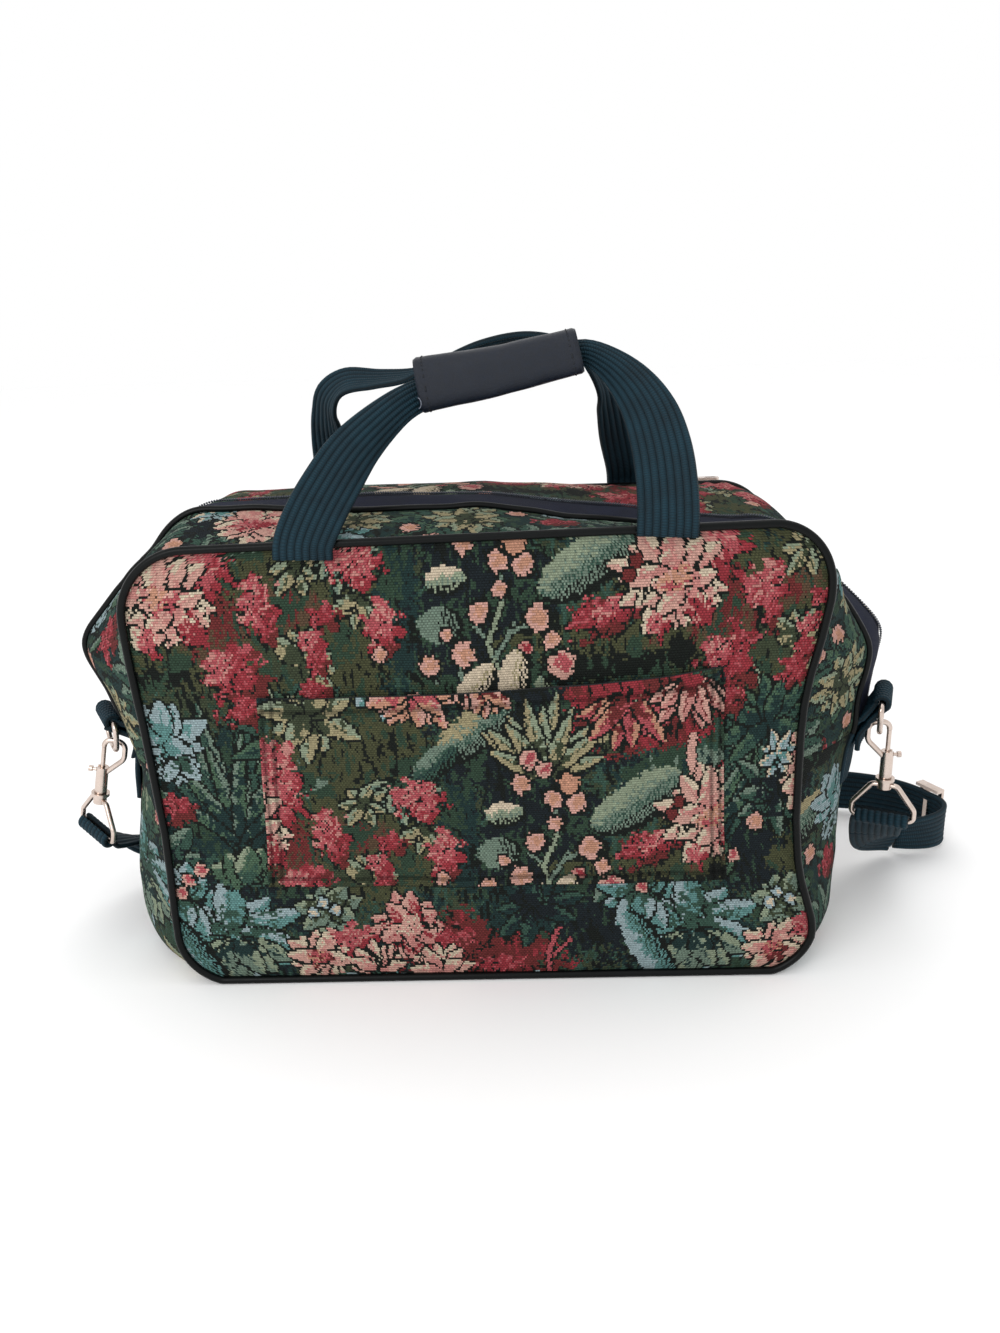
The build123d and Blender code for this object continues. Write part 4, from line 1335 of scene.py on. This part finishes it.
# ---- handles -----------------------------------------------------------------------------------------
@dataclass
class Handles:
    """The two carrying handles and the wrap on the front one."""

    thick: float = 0.0021
    front: tuple = (
        # place in mm, share of the width, curl, tilt of the face in degrees
        (-108.6, -110.6, 311, 1.0, 0.02, 0), (-108, -109.6, 320, 1.0, 0.02, 0),
        (-102, -102, 335, 1.0, 0.05, 4),
        (-91, -90, 354, 0.96, 0.2, 10), (-78, -78, 372, 0.90, 0.5, 18), (-62, -66, 387, 0.78, 0.9, 24),
        (-46, -56, 399, 0.66, 1.15, 20), (-33, -51, 405, 0.62, 1.2, 12), (14, -50, 416, 0.6, 1.2, 10),
        (58, -50, 425, 0.5, 1.2, 10), (70, -50, 427, 0.46, 1.1, 8), (84, -52, 421, 0.6, 0.9, 2),
        (98, -58, 409, 0.8, 0.5, -4), (109, -68, 392, 0.95, 0.2, -5), (115, -82, 371, 1.0, 0.06, -3),
        (117, -98, 348, 1.0, 0.05, 0), (116.5, -109.6, 329, 1.0, 0.02, 0), (116, -110.6, 319, 1.0, 0.02, 0),
    )
    back: tuple = (
        (-118, 110.6, 303, 1.0, 0.02, 0), (-118.5, 109.4, 318, 1.0, 0.02, 0), (-119, 97, 338, 1.0, 0.05, -12),
        (-119, 80, 361, 0.96, 0.1, -30), (-117, 65, 378, 0.94, 0.15, -45), (-113, 53, 393, 0.92, 0.2, -60),
        (-99, 42, 405, 0.85, 0.3, -85), (-73, 34, 407, 0.8, 0.3, -100), (-51, 28, 409, 0.8, 0.3, -108),
        (-29, 24, 416, 0.8, 0.3, -122), (5, 22, 427, 0.8, 0.3, -135), (36, 22, 431, 0.8, 0.3, -135),
        (58, 24, 428, 0.8, 0.3, -120), (76, 30, 418, 0.85, 0.2, -85), (91, 42, 403, 0.92, 0.15, -55),
        (99, 58, 385, 0.95, 0.1, -28), (106, 78, 360, 1.0, 0.05, -12), (113, 97, 333, 1.0, 0.05, 0),
        (115, 109.4, 318, 1.0, 0.02, 0), (115, 110.6, 303, 1.0, 0.02, 0),
    )

    def webbing(self, name: str, rows: tuple, side: int) -> bpy.types.Object:
        """Sweep one handle's webbing."""
        table = np.array(rows, float)
        table[:, :3] *= MM
        route = smooth_route(table, 0.0036)
        along = unit(np.gradient(route[:, :3], axis=0))
        plane = unit(np.array([0.0, side * 0.88, 0.47]))
        across = unit(np.cross(along, np.broadcast_to(plane, along.shape)))
        tilt = np.radians(route[:, 5])[:, None]
        across = across * np.cos(tilt) + np.cross(along, across) * np.sin(tilt)
        half = WEBBING_WIDTH / 2 * route[:, 3]
        piece = band(name + "_webbing", route[:, :3], across, half, self.thick, route[:, 4])
        dress(piece, name)
        return piece

    def wrap(self) -> None:
        """Fold the leatherette wrap round the front handle, with its stitch rows."""
        start, end = np.array([-37.0, -50, 409.0]) * MM, np.array([66.5, -50, 427.5]) * MM
        steps = 57
        t = np.linspace(0, 1, steps)
        route = start + t[:, None] * (end - start)
        route[:, 2] -= 0.0016 * np.sin(math.pi * t)
        along = unit(np.gradient(route, axis=0))
        deep = np.broadcast_to(np.array([0.0, 1.0, 0.0]), along.shape)
        up = unit(np.cross(deep, along))
        up = np.where(up[:, 2:] < 0, -up, up)
        sides = 56
        angle = np.linspace(0, 2 * math.pi, sides, endpoint=False)
        tall, wide = 0.0172 - 0.0034 * t, np.full(steps, 0.0115)
        tall = tall + 0.0006 * (np.abs(2 * t - 1) ** 8)
        power = 2 / 3.2
        cy = np.sign(np.cos(angle)) * np.abs(np.cos(angle)) ** power
        cz = np.sign(np.sin(angle)) * np.abs(np.sin(angle)) ** power
        grain = Grain(41)
        soft = 1 + 0.05 * (grain.at(t[:, None] * 9, angle[None, :] * 1.2, 1.0) - 0.5)
        sections = (
            route[:, None] + (wide[:, None] * cy[None] * soft)[..., None] * deep[:, None]
            + (tall[:, None] * cz[None] * soft)[..., None] * up[:, None]
        )
        for lip in (0, steps - 1):
            sections[lip] = route[lip] + (sections[lip] - route[lip]) * 0.93
        inner = route[:, None] + (sections - route[:, None]) * 0.86
        shell = np.concatenate([sections, inner[::-1]], axis=0)
        line = np.vstack([route, route[::-1]])
        piece = Sweep("handle_grip_wrap", line, shell, [Finishes.grip], loop=True).make()
        dress(piece, "handle_grip")
        self.stitches(sections, route)

    def stitches(self, sections: np.ndarray, route: np.ndarray) -> None:
        """Sew a row of stitches near each end of the wrap, and leave one thread end loose."""
        shape, faces = primitive(bpy.ops.mesh.primitive_cylinder_add, vertices=6, radius=0.5, depth=1.0)
        copies = []
        for ring in (3, len(route) - 4):
            loop = sections[ring]
            for k in range(0, len(loop), 2):
                first, second = loop[k], loop[(k + 1) % len(loop)]
                middle, ahead = (first + second) / 2, second - first
                out = unit(middle - route[ring])
                side = np.cross(unit(ahead), out)
                place = middle + out * 0.0002
                place = place + shape[:, :1] * 0.0008 * side + shape[:, 1:2] * 0.0007 * out
                copies.append(place + shape[:, 2:] * ahead * 0.75)
        dress(join_copies("grip_stitches", copies, faces, Finishes.thread))
        turn = np.linspace(-1.3, 1.5, 16)
        centre = np.array([-0.0365, -0.0628, 0.3990])
        thread = centre + np.column_stack([
            0.0022 * np.cos(turn), -0.0006 * np.cos(turn * 1.2), 0.0034 * np.sin(turn),
        ])
        sections = open_cord(thread, 0.00022, 6)
        dress(Sweep("grip_loose_thread", thread, sections, [Finishes.pale_thread]).make())

    def build(self) -> None:
        """Make both handles and the wrap."""
        self.webbing("handle_front", self.front, -1)
        self.webbing("handle_back", self.back, 1)
        self.wrap()


# ---- strap, tabs and hardware -----------------------------------------------------------------------------
@dataclass
class StrapEnd:
    """What joins the shoulder strap to one end of the bag."""

    side: str
    sign: int
    ring_bar: tuple
    eye_bar: tuple
    link: tuple


@dataclass
class Strap:
    """The shoulder strap, the webbing tabs, the folded ends on their bars and the links to the strap; its
    slider is a kept metal node.
    """

    form: BagForm
    thick: float = 0.0022
    roll_radius: float = 0.0044
    tab_radius: float = 0.0048
    route: tuple = (
        (-266, 72), (-268, 96), (-246, 122), (-190, 128), (-110, 112), (30, 112), (130, 124),
        (230, 148), (318, 146), (368, 122), (388, 82), (366, 56), (336, 56),
    )
    height: float = 0.0226
    ends: tuple = field(default_factory=lambda: (
        StrapEnd("left", -1, (-0.5, 0.866, 0.0), (0.746, -0.643, -0.172), ((-298, 10, 60), (-287, 40, 42))),
        StrapEnd("right", 1, (0.342, 0.940, 0.0), (0.906, -0.423, 0.0), ((298, 4, 52), (312, 36, 30))),
    ))

    def strap(self) -> None:
        """Lay the strap along its route."""
        curve = bpy.data.curves.new("strap_route", "CURVE")
        curve.dimensions = "3D"
        curve.resolution_u = 24
        spline = curve.splines.new("NURBS")
        spline.points.add(len(self.route) - 1)
        for point, (x, y) in zip(spline.points, self.route):
            point.co = (x * MM, y * MM, self.height, 1.0)
        spline.order_u = 3
        spline.use_endpoint_u = True
        holder = bpy.data.objects.new("strap_route", curve)
        bpy.context.scene.collection.objects.link(holder)
        flat = bpy.data.meshes.new_from_object(holder)
        line = np.array([v.co for v in flat.vertices])
        bpy.data.objects.remove(holder)
        bpy.data.meshes.remove(flat)
        run = distances(line)
        even = np.linspace(0, run[-1], int(run[-1] / 0.0045))
        path = np.column_stack([np.interp(even, run, line[:, k]) for k in range(3)])
        along = unit(np.gradient(path, axis=0))
        upright = np.broadcast_to(np.array([0.0, 0.0, 1.0]), along.shape)
        outward_dir = np.cross(along, upright)
        tail = np.linspace(0, 1, len(path))
        lean = np.interp(tail, [0, 0.80, 0.90, 1.0], [0.0, 0.05, 0.25, -0.5])[:, None]
        across = unit(upright + lean * outward_dir)
        self.path = path
        self.across = across
        piece = band("shoulder_strap_webbing", path, across, WEBBING_WIDTH / 2, self.thick)
        dress(piece, "shoulder_strap")
        LOG.info("strap: %.3f m", run[-1])

    def build(self) -> None:
        """Make the strap, its ends and its tabs."""
        self.strap()
        for end in self.ends:
            self.roll(end)
            self.tab(end)
            self.link(end)

    @staticmethod
    def centre(node: str) -> np.ndarray:
        """Middle of a node's box."""
        low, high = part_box(node)
        return np.array((low + high) / 2)

    def roll(self, end: StrapEnd) -> None:
        """Fold the strap's end round the bar of the swivel eye."""
        bar = unit(np.array(end.eye_bar))
        centre = self.centre(f"strap_end_{end.side}")
        turn = np.linspace(math.radians(-250), math.radians(70), 44)
        first = unit(np.cross(bar, np.array([0.0, 0.0, 1.0])))
        second = np.cross(first, bar)
        route = centre + self.roll_radius * (np.cos(turn)[:, None] * first + np.sin(turn)[:, None] * second)
        across = np.broadcast_to(bar, route.shape)
        node = f"strap_end_{end.side}"
        piece = band(node + "_webbing", route, across, WEBBING_WIDTH / 2, self.thick)
        dress(piece, node, f"swivel_eye_{end.side}")

    def tab(self, end: StrapEnd) -> None:
        """Sew the webbing tab to the gusset and take it round the ring's bar."""
        form = self.form
        low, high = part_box(f"tab_{end.side}")
        ring_low, ring_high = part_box(f"d_ring_{end.side}")
        bar_dir = unit(np.array(end.ring_bar))
        bar = np.array([(ring_low.x + ring_high.x) / 2, (ring_low.y + ring_high.y) / 2, ring_high.z - 0.002])
        depth = bar[1]
        heights = np.linspace(low.z, form.seam, 9)
        side = (form.line[:, 0] > form.half * STRAIGHT_PART) & (form.line[:, 1] > 0.04)
        s = np.interp(heights, form.line[side, 1], form.run[side])
        s = s if end.sign > 0 else form.round - s
        wall = form.wall(s, np.full_like(s, depth), 0.0006)
        turn = np.linspace(math.radians(-60), math.radians(190), 14)
        out = unit(np.cross(bar_dir, np.array([0.0, 0.0, 1.0])))
        out = out if out[0] * end.sign > 0 else -out
        loop = np.cos(turn)[:, None] * out + np.sin(turn)[:, None] * np.array([0, 0, 1.0])
        loop = bar + self.tab_radius * loop
        back = wall[-1] + np.array([end.sign * 0.0016, 0, -0.002])
        route = np.vstack([
            wall, wall[-1] + np.array([0, 0, 0.003]), loop[::-1], back + np.array([end.sign * 0.001, 0, 0.0]),
            back - np.array([0, 0, 0.012]),
        ])
        blend = np.clip((route[:, 2] - form.seam + 0.006) / 0.012, 0, 1)[:, None]
        beside = form.wall(np.array([s[4], s[4]]), np.array([depth - 0.018, depth + 0.018]))
        across = (1 - blend) * unit(beside[1] - beside[0]) + blend * bar_dir * np.sign(bar_dir[1])
        across = across * end.sign
        table = np.column_stack([route, across])
        fine = smooth_route(table, 0.0022)
        curl = 0.16 * (fine[:, 2] < form.seam)
        node = f"tab_{end.side}"
        piece = band(node + "_webbing", fine[:, :3], fine[:, 3:6], WEBBING_WIDTH / 2, 0.0020, curl)
        dress(piece, node)

    def link(self, end: StrapEnd) -> None:
        """Run the webbing from the folded end to the strap, in three sections."""
        centre = self.centre(f"strap_end_{end.side}")
        bar = unit(np.array(end.eye_bar))
        tip = self.path[0] if end.sign < 0 else self.path[-1]
        middle = np.array(end.link) * MM
        start = centre + np.array([0, 0.004, -0.0034])
        last = self.across[0 if end.sign < 0 else -1]
        rows = np.array([
            [*start, *bar], [*(centre + np.array([0.0, 0.010, -0.009])), *bar],
            [*middle[0], *unit(bar + 0.35 * last)], [*middle[1], *unit(bar * 0.5 + last)], [*tip, *last],
        ])
        fine = smooth_route(rows, 0.003)
        cuts = [0, len(fine) // 3, 2 * len(fine) // 3, len(fine) - 1]
        for k in range(3):
            part = fine[cuts[k]:cuts[k + 1] + 1]
            name = f"strap_link_{end.side}_{k + 1}"
            piece = band(name, part[:, :3], part[:, 3:6], WEBBING_WIDTH / 2, self.thick)
            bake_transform(piece)


class Metal:
    """The metal, board and inner nodes that keep their own shape and take a finish."""

    paired = (
        ("d_ring", "nickel"), ("snap_hook", "nickel"), ("hook_bolt", "nickel"), ("swivel_eye", "nickel"),
        ("hook_spring", "steel"),
    )
    single = {"zip_slider": "nickel", "zip_puller": "nickel", "strap_slider": "nickel", "base_board": "board"}

    def build(self) -> None:
        """Give each kept node its finish."""
        pairs = {f"{name}_{side}": finish for name, finish in self.paired for side in ("left", "right")}
        for name, finish in (pairs | self.single).items():
            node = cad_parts[name]
            material = getattr(Finishes, finish)
            if node.material_slots:
                for slot in node.material_slots:
                    slot.material = material
            else:
                node.data.materials.append(material)


# ---- room ------------------------------------------------------------------------------------------------
@dataclass
class Studio:
    """A pale floor, soft light and the camera."""

    place: tuple = (0.0300, -0.7479, 0.4565)
    pitch: float = 18.9
    yaw: float = -1.71
    roll: float = -2.04
    lens: float = 28.56
    floor_colour: tuple = (1.0, 1.0, 1.0, 1.0)

    def floor(self) -> None:
        """Lay a wide pale floor."""
        bpy.ops.object.select_all(action="DESELECT")
        bpy.ops.mesh.primitive_plane_add(size=14)
        floor = bpy.context.object
        floor.name = "floor"
        material = bpy.data.materials.new("FloorPaper")
        material.use_nodes = True
        shader = material.node_tree.nodes["Principled BSDF"]
        shader.inputs["Base Color"].default_value = self.floor_colour
        shader.inputs["Roughness"].default_value = 0.95
        shader.inputs["Specular IOR Level"].default_value = 0.1
        floor.data.materials.append(material)

    @staticmethod
    def lamp(name: str, place: tuple, aim: tuple, size: float, power: float) -> None:
        """Hang one soft lamp."""
        data = bpy.data.lights.new(name, "AREA")
        data.size = size
        data.energy = power
        lamp = bpy.data.objects.new(name, data)
        lamp.location = place
        lamp.rotation_euler = (Vector(aim) - Vector(place)).to_track_quat("-Z", "Y").to_euler()
        bpy.context.scene.collection.objects.link(lamp)

    def build(self) -> None:
        """Make the floor, the light and the camera."""
        self.floor()
        world = bpy.data.worlds.new("Studio")
        world.use_nodes = True
        world.node_tree.nodes["Background"].inputs["Color"].default_value = (1, 1, 1, 1)
        world.node_tree.nodes["Background"].inputs["Strength"].default_value = 1.0
        bpy.context.scene.world = world
        self.lamp("key", (-0.9, -1.5, 1.1), (0, 0, 0.15), 0.9, 12)
        self.lamp("top", (0.2, 0.3, 2.2), (0, 0, 0.1), 1.6, 6)
        scene = bpy.context.scene
        scene.view_settings.view_transform = "Standard"
        camera = bpy.data.objects.new("camera", bpy.data.cameras.new("camera"))
        camera.data.lens = self.lens
        turn = (
            Matrix.Rotation(math.radians(-self.yaw), 4, "Z")
            @ Matrix.Rotation(math.radians(90 - self.pitch), 4, "X")
            @ Matrix.Rotation(math.radians(self.roll), 4, "Z")
        )
        camera.matrix_world = Matrix.Translation(self.place) @ turn
        camera.data.clip_start = 0.05
        scene.collection.objects.link(camera)
        scene.camera = camera


def main() -> None:
    """Build the bag and the studio."""
    logging.basicConfig(level=logging.INFO, format="%(name)s %(message)s")
    form, tapestry = BagForm(), Tapestry()
    Body(form, tapestry).build()
    Pocket(form, tapestry).build()
    Trim(form).build()
    Handles().build()
    Strap(form).build()
    Metal().build()
    Studio().build()


if __name__ == "__main__":
    main()
